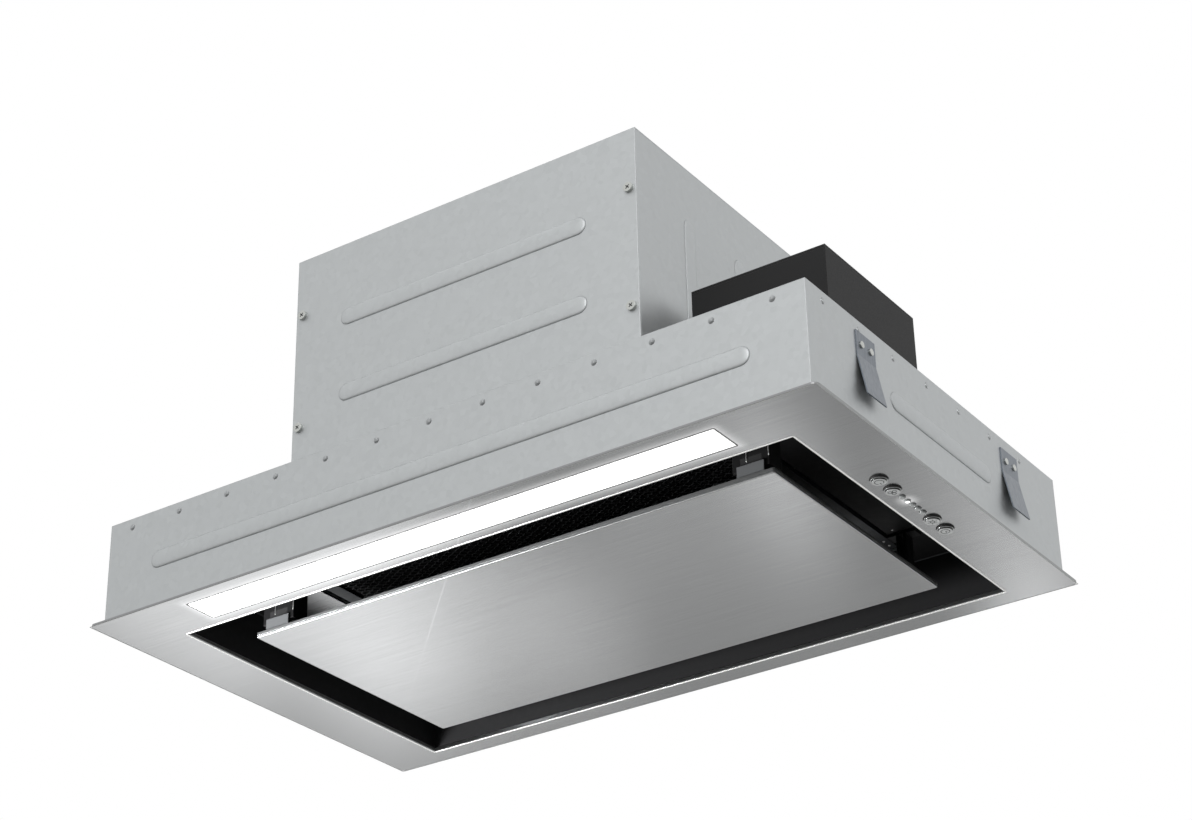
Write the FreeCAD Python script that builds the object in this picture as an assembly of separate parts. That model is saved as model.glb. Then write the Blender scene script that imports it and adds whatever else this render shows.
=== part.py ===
"""Built-in canopy range hood with a flush suction panel, built from separate sheet and moulded pieces.

Lengths are millimetres. X is to the right, Y to the back, Z up. The origin is the centre of the trim frame's
outline, in the plane of the hem that bears on the cabinet's underside.
"""
import FreeCAD
import Part
import math
import os

from FreeCAD import Vector

# Trim frame of stainless sheet
trim_width = 600.0
trim_depth = 360.0
trim_corner_radius = 4.5
trim_sheet = 0.8
trim_edge_round = 0.4
opening_edge_round = 0.5
hole_edge_round = 0.35
corner_relief_radius = 0.7
hem_width = 7.0
border_front = 52.0
border_back = 20.0
border_side = 48.0
lip_height = 3.0
lip_thickness = 0.8

# General clearances
cut_overrun = 2.0
seat_gap = 0.3
slip_gap = 0.2
pin_gap = 0.05

# Recess and filter deck
recess_height = 43.0
liner_sheet = 1.0
liner_flange = 6.0
deck_sheet = 1.0

# Casing that stands in the cabinet
casing_sheet = 1.0
casing_height = 78.0
casing_hem_gap = 0.5

# Suction panel
panel_gap = 34.0
panel_sheet = 0.8
panel_height = 4.0
panel_corner_radius = 1.2
panel_edge_round = 0.7
panel_hem_rise = 1.5
panel_hem_line = 0.35
panel_hem_depth = 0.3
stiffener_end_room = 48.0
stiffener_foot = 8.0
stiffener_crown = 22.0
stiffener_height = 7.0
stiffener_sheet = 1.0
stiffener_inset = 34.0

# Panel catches
catch_tab_width = 20.5
catch_tab_sheet = 1.0
catch_tab_top = 12.4
catch_tab_inset = 8.0
catch_block_width = 28.0
catch_block_depth = 15.0
catch_block_overlap = 3.4
catch_block_gap = 0.4
catch_magnet_width = 16.0
catch_magnet_depth = 3.0
catch_magnet_height = 9.0

# Panel hinge
hinge_side_inset = 18.0
hinge_inset = 10.0
hinge_rise = 9.0
hinge_ear_thickness = 3.0
hinge_ear_radius = 5.0
hinge_base_length = 26.0
hinge_base_width = 18.0
hinge_base_sheet = 1.5
hinge_cheek = 2.0
hinge_cheek_radius = 5.0
hinge_cheek_gap = 0.4
hinge_bridge_length = 22.0
hinge_bridge_sheet = 2.0
hinge_pin_radius = 2.0
hinge_pin_overhang = 1.5

# Grease filter and its seat
filter_side_room = 66.0
filter_end_room = 27.0
filter_height = 10.0
filter_sheet = 1.0
filter_rail = 10.5
filter_front_rail = 36.0
filter_grip = 7.0
filter_side_gap = 4.5
filter_end_gap = 5.0
filter_lift = 0.5
mesh_sheet = 0.8
mesh_columns = 28
mesh_rows = 14
mesh_open_share = 0.74
filter_seat_height = 13.0
filter_seat_sheet = 1.0
filter_seat_flange = 14.0
tongue_width = 20.0
tongue_sheet = 1.2
tongue_reach = 4.0
tongue_spread = 240.0
tongue_slot_gap = 1.0

# Filter latch
latch_width = 36.0
latch_length = 14.0
latch_thickness = 3.0
latch_bolt_width = 18.0
latch_bolt_thickness = 2.0
latch_reach = 1.8
latch_travel = 8.0
latch_finger_length = 3.0
latch_finger_drop = 6.0

# Lamp in the front border
lamp_end_border = 81.25
lamp_width = 28.5
lamp_front = 12.3
lamp_flange = 2.3
lamp_flange_thickness = 2.0
lamp_channel_height = 23.0
lamp_channel_wall = 1.5
lamp_cap_thickness = 2.0
lamp_board_thickness = 1.6
lamp_board_width = 18.0
lamp_chip_size = 3.0
lamp_chip_height = 1.0
lamp_chip_count = 24
lamp_end_room = 4.0

# Controls in the right border
button_edge_offset = 15.0
button_inner_y = 27.0
button_outer_y = 45.0
button_radius = 5.9
button_clearance = 0.3
button_rise = 1.6
button_edge_round = 0.25
button_collar_radius = 7.8
button_collar_height = 1.5
button_stem_radius = 2.0
button_travel = 1.2
button_step_radius = 4.9
button_step_rise = 0.75
button_step_round = 0.4
lens_pitch = 7.0
lens_count = 5
lens_radius = 2.25
lens_clearance = 0.2
lens_rise = 1.2
lens_round = 0.8
lens_collar_radius = 2.9
lens_collar_height = 1.0
carrier_inner_margin = 10.3
carrier_width = 32.0
carrier_length = 124.0
carrier_floor = 2.0
carrier_wall = 1.5
carrier_height = 17.0
board_thickness = 1.6
switch_size = 6.0
switch_height = 4.0
plunger_radius = 1.5
plunger_height = 1.0
indicator_chip_size = 3.0
indicator_chip_height = 2.0
control_cover_height = 8.0

# Blower
impeller_radius = 70.0
impeller_blade_depth = 12.0
impeller_half_width = 50.0
impeller_blade_count = 36
impeller_blade_sheet = 1.0
impeller_blade_lean = 4.0
impeller_disc = 2.0
impeller_ring_width = 5.0
impeller_ring_depth = 4.0
hub_radius = 14.0
hub_back = 8.0
hub_front = 14.0
shaft_radius = 4.0
shaft_overhang = 6.0
scroll_start_gap = 8.0
scroll_growth = 40.0
scroll_cutoff_angle = 20.0
scroll_turn_angle = 270.0
scroll_wall = 2.0
scroll_side_gap = 4.0
scroll_rise = 96.0
scroll_inlet_radius = 62.0
scroll_inlet_lip = 5.0
scroll_inlet_lip_wall = 3.0
blower_axis_y = -40.0
blower_clearance = 6.0

# Motor in the right inlet
motor_radius = 42.0
motor_length = 54.0
motor_start = 16.0
motor_edge_round = 5.0
bearing_radius = 8.0
bearing_length = 7.0
bracket_ring_radius = 26.0
bracket_ring_hole = 14.0
bracket_sheet = 2.5
bracket_arm_width = 16.0
bracket_reach = 74.0
bracket_arm_angles = (0.0, 120.0, 240.0)
bush_radius = 7.0
bush_hole_radius = 2.5

# Motor box
box_side_room = 142.5
box_sheet = 1.0
box_foot = 12.0
box_flange = 10.0
box_margin = 6.0

# Outlet collar with two flaps
collar_outer_radius = 74.5
collar_wall = 2.5
collar_height = 38.0
collar_flange_radius = 86.0
collar_flange_thickness = 2.5
collar_ring_gap = 0.1
collar_spigot_step = 0.8
collar_screw_radius = 80.5
collar_screw_count = 4
collar_ledge = 4.0
collar_ledge_thickness = 1.5
collar_ledge_height = 8.0
spindle_radius = 1.5
flap_thickness = 1.5
flap_edge_gap = 1.2
flap_seat_gap = 0.4
knuckle_radius = 3.2
knuckle_length = 30.0
knuckle_side_gap = 0.5
knuckle_bore_gap = 0.08

# Electrics box on the casing
electrics_gap = 15.0
electrics_side_room = 23.5
electrics_depth = 120.0
electrics_height = 68.0
electrics_wall = 2.0
electrics_lid = 2.0
electrics_lid_rim = 3.0
electrics_front = -100.0
terminal_length = 48.0
terminal_width = 22.0
terminal_height = 18.0
terminal_inset = 26.0
capacitor_radius = 17.0
capacitor_length = 62.0
capacitor_inset = 30.0
gland_radius = 10.0
gland_bore = 4.5
gland_reach = 16.0
gland_nut_radius = 13.0
gland_nut_length = 6.0
gland_height = 30.0
gland_inset = 26.0

# Motor lead
lead_radius = 3.2
lead_drop = 34.0
lead_inside = 10.0
grommet_radius = 7.0
grommet_flange = 2.0

# Spring clips on the casing sides
clip_spread = 200.0
clip_width = 24.0
clip_sheet = 1.0
clip_top = 70.0
clip_bend = 52.0
clip_tip = 22.0
clip_flare = 5.6
clip_rivet_drop = 9.0
clip_rivet_spread = 12.0

# Fasteners
screw_head_radius = 3.6
screw_head_height = 2.2
screw_shank_radius = 1.7
screw_hole_gap = 0.1
screw_reach = 5.0
screw_edge = 6.0
rivet_head_radius = 2.4
rivet_head_height = 1.0

# Levels and outlines that follow from the sizes above
trim_bottom = -2 * trim_sheet
trim_top = trim_bottom + trim_sheet
opening_x = trim_width / 2 - border_side
opening_front = border_front - trim_depth / 2
opening_back = trim_depth / 2 - border_back
opening_mid = (opening_front + opening_back) / 2
button_x = opening_x + button_edge_offset
button_hole_radius = button_radius + button_clearance
lens_hole_radius = lens_radius + lens_clearance
liner_setback = lip_thickness + seat_gap
liner_x = opening_x + liner_setback
liner_front = opening_front - liner_setback
liner_back = opening_back + liner_setback
deck_bottom = trim_bottom + recess_height
deck_top = deck_bottom + deck_sheet
casing_x = trim_width / 2 - hem_width - casing_hem_gap
casing_y = trim_depth / 2 - hem_width - casing_hem_gap
casing_top = casing_height
box_half_width = casing_x - box_side_room
panel_x = opening_x - panel_gap
panel_front = opening_front + panel_gap
panel_back = opening_back - panel_gap
panel_floor = trim_bottom + panel_sheet
panel_top = trim_bottom + panel_height
stiffener_length = 2 * (panel_x - stiffener_end_room)
catch_tab_x = panel_x - catch_tab_inset - catch_tab_width / 2
catch_tab_back = panel_front + panel_sheet + catch_tab_sheet
hinge_x = panel_x - hinge_side_inset
hinge_y = panel_back - hinge_inset
hinge_z = panel_top + hinge_rise
filter_width = 2 * (opening_x - filter_side_room)
filter_depth = opening_back - opening_front - 2 * filter_end_room
aperture_x = filter_width / 2 + filter_side_gap
aperture_front = opening_mid - filter_depth / 2 - filter_end_gap
aperture_back = opening_mid + filter_depth / 2 + filter_end_gap
filter_x = filter_width / 2
filter_front = opening_mid - filter_depth / 2
filter_back = opening_mid + filter_depth / 2
filter_bottom = deck_bottom + filter_lift
filter_top = filter_bottom + filter_height
filter_seat_top = deck_top + filter_seat_height
lamp_length = trim_width - 2 * lamp_end_border
lamp_mid_y = lamp_front + lamp_width / 2 - trim_depth / 2
lamp_channel_base = trim_top + lamp_flange_thickness
lamp_channel_top = lamp_channel_base + lamp_channel_height
lamp_channel_x = lamp_length / 2 + lamp_flange
lamp_channel_y = lamp_width / 2 + lamp_flange
carrier_x0 = button_x - carrier_inner_margin
carrier_x1 = carrier_x0 + carrier_width
carrier_y = carrier_length / 2
carrier_floor_top = trim_top + carrier_floor
carrier_top = trim_top + carrier_height
plunger_tip = carrier_top - switch_height - plunger_height
button_places = (-button_outer_y, -button_inner_y, button_inner_y, button_outer_y)
scroll_start = impeller_radius + scroll_start_gap
scroll_end = scroll_start + scroll_growth
scroll_inner_x = impeller_half_width + scroll_side_gap
scroll_outer_x = scroll_inner_x + scroll_wall
cutoff_radians = math.radians(scroll_cutoff_angle)
box_bottom = casing_top + casing_sheet
collar_y = blower_axis_y + (scroll_start * math.sin(cutoff_radians) + scroll_end) / 2
box_back = collar_y + collar_flange_radius + box_margin
electrics_x0 = box_half_width + electrics_gap
electrics_x1 = casing_x - electrics_side_room
electrics_y0 = electrics_front
electrics_y1 = electrics_front + electrics_depth
electrics_top = box_bottom + electrics_height


def box(x0, x1, y0, y1, z0, z1):
    """Return a block between two corners."""
    return Part.makeBox(x1 - x0, y1 - y0, z1 - z0, Vector(x0, y0, z0))


def rod_x(x0, x1, y, z, radius):
    """Return a round rod along X."""
    return Part.makeCylinder(radius, x1 - x0, Vector(x0, y, z), Vector(1, 0, 0))


def rod_y(y0, y1, x, z, radius):
    """Return a round rod along Y."""
    return Part.makeCylinder(radius, y1 - y0, Vector(x, y0, z), Vector(0, 1, 0))


def rod_z(z0, z1, x, y, radius):
    """Return a round rod along Z."""
    return Part.makeCylinder(radius, z1 - z0, Vector(x, y, z0), Vector(0, 0, 1))


def upright_edges(shape):
    """Return the straight edges that run along Z."""
    found = []
    for edge in shape.Edges:
        ends = edge.BoundBox
        if ends.XLength + ends.YLength < ends.ZLength:
            found.append(edge)
    return found


def level_edges(shape, z):
    """Return the edges that lie at one height."""
    found = []
    for edge in shape.Edges:
        ends = edge.BoundBox
        if abs(ends.ZMin - z) + abs(ends.ZMax - z) < seat_gap:
            found.append(edge)
    return found


def rounded_box(x0, x1, y0, y1, z0, z1, radius):
    """Return a block with rounded upright edges."""
    block = box(x0, x1, y0, y1, z0, z1)
    return block.makeFillet(radius, upright_edges(block))


def frame_box(outer, inner, z0, z1):
    """Return a rectangular ring between two outlines (x0, x1, y0, y1)."""
    solid = box(*outer, z0, z1)
    hole = box(*inner, z0 - cut_overrun, z1 + cut_overrun)
    return solid.cut(hole)


def grown(outline, by):
    """Return an outline (x0, x1, y0, y1) grown by a distance on every side."""
    x0, x1, y0, y1 = outline
    return (x0 - by, x1 + by, y0 - by, y1 + by)


def prism_y(points, y0, y1):
    """Return a prism along Y from points (x, z)."""
    corners = [Vector(x, y0, z) for x, z in points]
    outline = Part.makePolygon(corners + corners[:1])
    return Part.Face(outline).extrude(Vector(0, y1 - y0, 0))


def screw_down(x, y, seat_z):
    """Return a pan-head screw that points down from a seat."""
    head = rod_z(seat_z, seat_z + screw_head_height, x, y, screw_head_radius)
    shank = rod_z(seat_z - screw_reach, seat_z, x, y, screw_shank_radius)
    crown = head.makeFillet(screw_head_height / 2, level_edges(head, seat_z + screw_head_height))
    return crown.fuse(shank).removeSplitter()


def screw_hole_down(x, y, z0, z1):
    """Return the cutter of a screw hole along Z."""
    return rod_z(z0 - cut_overrun, z1 + cut_overrun, x, y, screw_shank_radius + screw_hole_gap)


def save(name, shapes):
    """Write one node from a solid or from a list of separate solids."""
    shape = Part.makeCompound(shapes) if isinstance(shapes, list) else shapes
    shape.exportStep("parts/" + name + ".step")


def opening_outline():
    """Return the outline of the suction opening in the trim."""
    return (-opening_x, opening_x, opening_front, opening_back)


def lamp_slot():
    """Return the outline of the lamp slot in the front border."""
    half_y = lamp_width / 2
    return (-lamp_length / 2, lamp_length / 2, lamp_mid_y - half_y, lamp_mid_y + half_y)


def lens_places():
    """Return the Y positions of the indicator lenses."""
    first = -lens_pitch * (lens_count - 1) / 2
    return [first + lens_pitch * index for index in range(lens_count)]


def trim_frame():
    """Return the stainless trim with its hem, lip, lamp slot and control holes."""
    half_x = trim_width / 2
    half_y = trim_depth / 2
    plate = rounded_box(-half_x, half_x, -half_y, half_y, trim_bottom, 0, trim_corner_radius)
    plate = plate.makeFillet(trim_edge_round, level_edges(plate, trim_bottom))
    field = (hem_width - half_x, half_x - hem_width, hem_width - half_y, half_y - hem_width)
    plate = plate.cut(box(*field, trim_top, cut_overrun))
    opening = opening_outline()
    lip = box(*grown(opening, lip_thickness), trim_bottom + trim_edge_round, trim_bottom + lip_height)
    plate = plate.fuse(lip)
    plate = plate.cut(box(*opening, trim_bottom - cut_overrun, lip_height + cut_overrun)).removeSplitter()
    plate = plate.makeFillet(opening_edge_round, inner_edges(plate, opening, trim_bottom))
    plate = plate.cut(box(*lamp_slot(), trim_bottom - cut_overrun, cut_overrun))
    for y in button_places:
        plate = plate.cut(rod_z(trim_bottom - cut_overrun, cut_overrun, button_x, y, button_hole_radius))
        plate = plate.makeFillet(hole_edge_round, hole_rim(plate, y, button_hole_radius))
    for y in lens_places():
        plate = plate.cut(rod_z(trim_bottom - cut_overrun, cut_overrun, button_x, y, lens_hole_radius))
        plate = plate.makeFillet(hole_edge_round, hole_rim(plate, y, lens_hole_radius))
    relief_top = trim_top + cut_overrun
    relief = rod_z(trim_bottom - cut_overrun, relief_top, -opening_x, opening_front, corner_relief_radius)
    return plate.cut(relief)


def inner_edges(shape, outline, z):
    """Return the edges at one height that lie within an outline."""
    x0, x1, y0, y1 = grown(outline, seat_gap)
    found = []
    for edge in level_edges(shape, z):
        ends = edge.BoundBox
        if ends.XMin > x0 and ends.XMax < x1 and ends.YMin > y0 and ends.YMax < y1:
            found.append(edge)
    return found


def hole_rim(shape, y, radius):
    """Return the lower rim of a control hole in the trim."""
    outline = (button_x - radius, button_x + radius, y - radius, y + radius)
    return inner_edges(shape, outline, trim_bottom)


def recess_liner():
    """Return the walls of the recess with a flange that carries the deck."""
    inside = (-liner_x, liner_x, liner_front, liner_back)
    walls = frame_box(grown(inside, liner_sheet), inside, trim_top, deck_bottom)
    flange_bottom = deck_bottom - liner_sheet
    flange = frame_box(grown(inside, liner_flange), inside, flange_bottom, deck_bottom)
    liner = walls.fuse(flange).removeSplitter()
    return cut_screw_holes(liner, deck_screw_places(), flange_bottom, deck_bottom)


def aperture():
    """Return the outline of the filter aperture in the deck."""
    return (-aperture_x, aperture_x, aperture_front, aperture_back)


def deck_screw_places():
    """Return the (x, y) places of the screws that hold the deck to the liner."""
    x = liner_x + liner_flange / 2 + liner_sheet / 2
    places = []
    for side in (-1, 1):
        for y in (liner_front, opening_mid, liner_back):
            places.append((side * x, y))
    return places


def filter_deck():
    """Return the sheet over the recess with its filter aperture."""
    edge_x = casing_x - casing_sheet - seat_gap
    edge_y = casing_y - casing_sheet - seat_gap
    sheet = frame_box((-edge_x, edge_x, -edge_y, edge_y), aperture(), deck_bottom, deck_top)
    return cut_screw_holes(sheet, deck_screw_places(), deck_bottom, deck_top)


def cut_screw_holes(sheet, places, z0, z1):
    """Return a sheet with screw holes along Z at the places."""
    for x, y in places:
        sheet = sheet.cut(screw_hole_down(x, y, z0, z1))
    return sheet


def box_front():
    """Return the Y of the motor box's front face."""
    return blower_axis_y - scroll_radius(math.pi / 2) - scroll_wall - blower_clearance


def box_screw_places():
    """Return the (x, y) places of the screws through the motor box's feet."""
    front = box_front() - box_foot / 2
    back = box_back + box_foot / 2
    places = []
    for x in (screw_edge - box_half_width, 0, box_half_width - screw_edge):
        places.append((x, front))
        places.append((x, back))
    return places


def casing():
    """Return the inverted sheet tray that stands in the cabinet, open under the motor box."""
    outline = (-casing_x, casing_x, -casing_y, casing_y)
    inside = grown(outline, -casing_sheet)
    shell = box(*outline, trim_top, casing_top + casing_sheet)
    shell = shell.cut(box(*inside, trim_top - cut_overrun, casing_top))
    reach = box_half_width - box_flange - box_sheet
    mouth = (-reach, reach, box_front() + box_flange, box_back - box_flange)
    shell = shell.cut(box(*mouth, casing_top - cut_overrun, box_bottom + cut_overrun))
    return cut_screw_holes(shell, box_screw_places(), casing_top, box_bottom)


def panel_skin():
    """Return the shallow tray that closes the middle of the suction opening."""
    outline = (-panel_x, panel_x, panel_front, panel_back)
    tray = rounded_box(*outline, trim_bottom, panel_top, panel_corner_radius)
    tray = tray.makeFillet(panel_edge_round, level_edges(tray, trim_bottom))
    pocket = grown(outline, -panel_sheet)
    pocket_radius = panel_corner_radius - panel_sheet
    tray = tray.cut(rounded_box(*pocket, panel_floor, panel_top + cut_overrun, pocket_radius))
    hem = trim_bottom + panel_hem_rise
    line = box(*grown(outline, cut_overrun), hem, hem + panel_hem_line)
    return tray.cut(line.cut(box(*grown(outline, -panel_hem_depth), hem, hem + panel_hem_line)))


def stiffener_places():
    """Return the Y positions of the two panel stiffeners."""
    return (panel_front + stiffener_inset, panel_back - stiffener_inset)


def panel_stiffener(y):
    """Return one hat-section stiffener along X on the panel's floor."""
    half = stiffener_length / 2
    crown = stiffener_crown / 2
    foot = crown + stiffener_foot
    top = panel_floor + stiffener_height
    outer = box(-half, half, y - crown, y + crown, panel_floor, top)
    hollow = grown((-half - cut_overrun, half + cut_overrun, y - crown, y + crown), -stiffener_sheet)
    hollow = (-half - cut_overrun, half + cut_overrun, hollow[2], hollow[3])
    flat = box(-half, half, y - foot, y + foot, panel_floor, panel_floor + stiffener_sheet)
    hat = outer.fuse(flat)
    return hat.cut(box(*hollow, panel_floor - cut_overrun, top - stiffener_sheet)).removeSplitter()


def stiffener_rivet_places():
    """Return the (x, y) places of the rivets on the stiffeners' feet."""
    places = []
    off = stiffener_crown / 2 + stiffener_foot / 2
    end = stiffener_length / 2 - stiffener_foot
    for y in stiffener_places():
        for x in (-end, 0, end):
            places.append((x, y - off))
            places.append((x, y + off))
    return places


def panel_rivets():
    """Return the rivet heads on the stiffeners and on the hinge bases."""
    heads = []
    seat = panel_floor + stiffener_sheet
    for x, y in stiffener_rivet_places():
        heads.append(rod_z(seat, seat + rivet_head_height, x, y, rivet_head_radius))
    base = panel_floor + hinge_base_sheet
    off = hinge_base_length / 2 - rivet_head_radius - seat_gap
    for side in (-1, 1):
        for shift in (-off, off):
            x = side * hinge_x + shift
            heads.append(rod_z(base, base + rivet_head_height, x, hinge_base_mid(), rivet_head_radius))
    return heads


def hinge_base_mid():
    """Return the Y of the middle of the hinge ears' bases."""
    return panel_back - panel_sheet - seat_gap - hinge_base_width / 2


def catch_tab(side):
    """Return one tab that stands inside the panel's front edge."""
    x = side * catch_tab_x
    half = catch_tab_width / 2
    front = panel_front + panel_sheet
    return box(x - half, x + half, front, catch_tab_back, panel_floor, trim_bottom + catch_tab_top)


def catch_block_outline(side):
    """Return the outline of one catch block under the deck."""
    x = side * catch_tab_x
    half = catch_block_width / 2
    front = catch_tab_back + catch_block_gap
    return (x - half, x + half, front, front + catch_block_depth)


def catch_magnet_outline(side):
    """Return the outline of the magnet let into one catch block's front."""
    x = side * catch_tab_x
    half = catch_magnet_width / 2
    front = catch_tab_back + catch_block_gap
    return (x - half, x + half, front, front + catch_magnet_depth)


def catch_levels():
    """Return the lower end of a catch block and the top of its magnet."""
    low = trim_bottom + catch_tab_top - catch_block_overlap
    return low, low + catch_magnet_height


def catch_block(side):
    """Return one catch block, hung from the deck, with a pocket for its magnet."""
    low, magnet_top = catch_levels()
    block = box(*catch_block_outline(side), low, deck_bottom)
    x0, x1, y0, y1 = catch_magnet_outline(side)
    return block.cut(box(x0, x1, y0 - cut_overrun, y1, low - cut_overrun, magnet_top))


def catch_magnet(side):
    """Return the magnet in one catch block."""
    low, magnet_top = catch_levels()
    return box(*catch_magnet_outline(side), low, magnet_top)


def hinge_ear(side):
    """Return one ear on the panel's back edge with its pin hole."""
    x = side * hinge_x
    half = hinge_ear_thickness / 2
    y0 = hinge_y - hinge_ear_radius
    y1 = hinge_y + hinge_ear_radius
    web = box(x - half, x + half, y0, y1, panel_floor, hinge_z)
    nose = rod_x(x - half, x + half, hinge_y, hinge_z, hinge_ear_radius)
    base_half = hinge_base_length / 2
    base_y = hinge_base_width / 2
    mid = hinge_base_mid()
    top = panel_floor + hinge_base_sheet
    base = box(x - base_half, x + base_half, mid - base_y, mid + base_y, panel_floor, top)
    hole = rod_x(x - half - cut_overrun, x + half + cut_overrun, hinge_y, hinge_z, hinge_pin_radius + pin_gap)
    return web.fuse(nose).fuse(base).cut(hole).removeSplitter()


def hinge_cheek_span():
    """Return how far a hinge bracket's cheeks reach from its middle, inside and outside."""
    inner = hinge_ear_thickness / 2 + hinge_cheek_gap
    return inner, inner + hinge_cheek


def hinge_bracket(side):
    """Return one inverted U bracket under the deck that holds the panel's hinge pin."""
    x = side * hinge_x
    inner, outer = hinge_cheek_span()
    y0 = hinge_y - hinge_cheek_radius
    y1 = hinge_y + hinge_cheek_radius
    body = box(x - outer, x + outer, y0, y1, hinge_z, deck_bottom)
    body = body.fuse(rod_x(x - outer, x + outer, hinge_y, hinge_z, hinge_cheek_radius))
    low = hinge_z - hinge_cheek_radius - cut_overrun
    slot_top = deck_bottom - hinge_bridge_sheet
    body = body.cut(box(x - inner, x + inner, y0 - cut_overrun, y1 + cut_overrun, low, slot_top))
    half = hinge_bridge_length / 2
    body = body.fuse(box(x - half, x + half, y0, y1, slot_top, deck_bottom))
    reach = outer + cut_overrun
    return body.cut(rod_x(x - reach, x + reach, hinge_y, hinge_z, hinge_pin_radius + pin_gap)).removeSplitter()


def hinge_pin(side):
    """Return one hinge pin."""
    x = side * hinge_x
    reach = hinge_cheek_span()[1] + hinge_pin_overhang
    return rod_x(x - reach, x + reach, hinge_y, hinge_z, hinge_pin_radius)


def filter_seat():
    """Return the frame on the deck that the filter hooks into."""
    hole = aperture()
    walls = frame_box(grown(hole, filter_seat_sheet), hole, deck_top, filter_seat_top)
    lid_inside = grown(hole, -filter_seat_flange)
    lid = frame_box(grown(hole, filter_seat_sheet), lid_inside, filter_seat_top, filter_seat_top + filter_seat_sheet)
    seat = walls.fuse(lid)
    for x in (-tongue_spread / 2, tongue_spread / 2):
        half = tongue_width / 2 + tongue_slot_gap
        z0, z1 = tongue_levels()
        y0 = aperture_back - cut_overrun
        y1 = aperture_back + filter_seat_sheet + cut_overrun
        seat = seat.cut(box(x - half, x + half, y0, y1, z0 - slip_gap, z1 + tongue_slot_gap))
    bolt_low, bolt_high = latch_bolt_levels()
    half = latch_bolt_width / 2 + tongue_slot_gap
    y0 = aperture_front - filter_seat_sheet - cut_overrun
    y1 = aperture_front + cut_overrun
    seat = seat.cut(box(-half, half, y0, y1, bolt_low - slip_gap, bolt_high + tongue_slot_gap))
    return seat.removeSplitter()


def tongue_levels():
    """Return the lower and upper face of the filter's tongues."""
    low = deck_top + tongue_sheet
    return low, low + tongue_sheet


def latch_bolt_levels():
    """Return the lower and upper face of the latch bolt."""
    low = filter_bottom + filter_sheet + seat_gap
    return low, low + latch_bolt_thickness


def latch_span():
    """Return the Y of the latch slider's front and back end at rest."""
    front = filter_front + filter_sheet + seat_gap
    return front, front + latch_length


def filter_outline():
    """Return the filter's outline."""
    return (-filter_x, filter_x, filter_front, filter_back)


def filter_window():
    """Return the outline of the filter frame's window."""
    return (filter_rail - filter_x, filter_x - filter_rail, filter_front + filter_front_rail, filter_back - filter_rail)


def filter_frame():
    """Return the filter's channel frame with its two rear tongues."""
    outline = filter_outline()
    frame = box(*outline, filter_bottom, filter_top)
    inside = grown(outline, -filter_sheet)
    frame = frame.cut(box(*inside, filter_bottom + filter_sheet, filter_top - filter_sheet))
    frame = frame.cut(box(*filter_window(), filter_bottom - cut_overrun, filter_top + cut_overrun))
    z0, z1 = tongue_levels()
    for x in (-tongue_spread / 2, tongue_spread / 2):
        half = tongue_width / 2
        tip = aperture_back + filter_seat_sheet + tongue_reach
        frame = frame.fuse(box(x - half, x + half, filter_back - filter_sheet, tip, z0, z1))
    bolt_low, bolt_high = latch_bolt_levels()
    half = latch_bolt_width / 2 + slip_gap
    y0 = filter_front - cut_overrun
    y1 = filter_front + filter_sheet + cut_overrun
    frame = frame.cut(box(-half, half, y0, y1, bolt_low - slip_gap, bolt_high + slip_gap))
    y0, y1 = latch_finger_span()
    slot = (-half, half, y0 - slip_gap, y1 + latch_travel + seat_gap)
    frame = frame.cut(box(*slot, filter_bottom - cut_overrun, filter_bottom + filter_sheet + cut_overrun))
    return frame.removeSplitter()


def latch_finger_span():
    """Return the Y of the front and back face of the latch's finger tab."""
    front, back = latch_span()
    middle = (front + back) / 2
    return middle - latch_finger_length / 2, middle + latch_finger_length / 2


def filter_latch():
    """Return the sliding latch inside the filter's front rail."""
    front, back = latch_span()
    low, high = latch_bolt_levels()
    half = latch_width / 2
    bolt = latch_bolt_width / 2
    slider = box(-half, half, front, back, low, low + latch_thickness)
    tip = aperture_front - filter_seat_sheet - latch_reach
    slider = slider.fuse(box(-bolt, bolt, tip, front, low, high))
    y0, y1 = latch_finger_span()
    finger = box(-bolt, bolt, y0, y1, filter_bottom - latch_finger_drop, low)
    return slider.fuse(finger).removeSplitter()


def mesh_outline():
    """Return the outline of the filter's mesh sheets, held under the frame's flanges."""
    x0, x1, y0, y1 = filter_window()
    return grown((x0, x1, y0, y1), filter_grip)


def mesh_sheet_at(z0):
    """Return one sheet of diamond mesh."""
    outline = mesh_outline()
    x0, x1, y0, y1 = filter_window()
    sheet = box(*outline, z0, z0 + mesh_sheet)
    pitch_x = (x1 - x0) / mesh_columns
    pitch_y = (y1 - y0) / mesh_rows
    half_x = pitch_x * mesh_open_share / 2
    half_y = pitch_y * mesh_open_share / 2
    cutters = []
    for column in range(mesh_columns):
        for row in range(mesh_rows):
            x = x0 + pitch_x * (column + 1 / 2)
            y = y0 + pitch_y * (row + 1 / 2)
            cutters.append(diamond(x, y, half_x, half_y, z0))
    return sheet.cut(Part.makeCompound(cutters))


def diamond(x, y, half_x, half_y, z0):
    """Return the cutter of one mesh opening."""
    low = z0 - cut_overrun
    corners = [Vector(x - half_x, y, low), Vector(x, y - half_y, low)]
    corners += [Vector(x + half_x, y, low), Vector(x, y + half_y, low)]
    outline = Part.makePolygon(corners + corners[:1])
    return Part.Face(outline).extrude(Vector(0, 0, mesh_sheet + 2 * cut_overrun))


def filter_meshes():
    """Return the lower and the upper mesh sheet."""
    lower = mesh_sheet_at(filter_bottom + filter_sheet)
    upper = mesh_sheet_at(filter_top - filter_sheet - mesh_sheet)
    return [lower, upper]


def filter_core():
    """Return the pad of knitted wire between the mesh sheets."""
    low = filter_bottom + filter_sheet + mesh_sheet
    high = filter_top - filter_sheet - mesh_sheet
    return box(*mesh_outline(), low, high)


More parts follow.
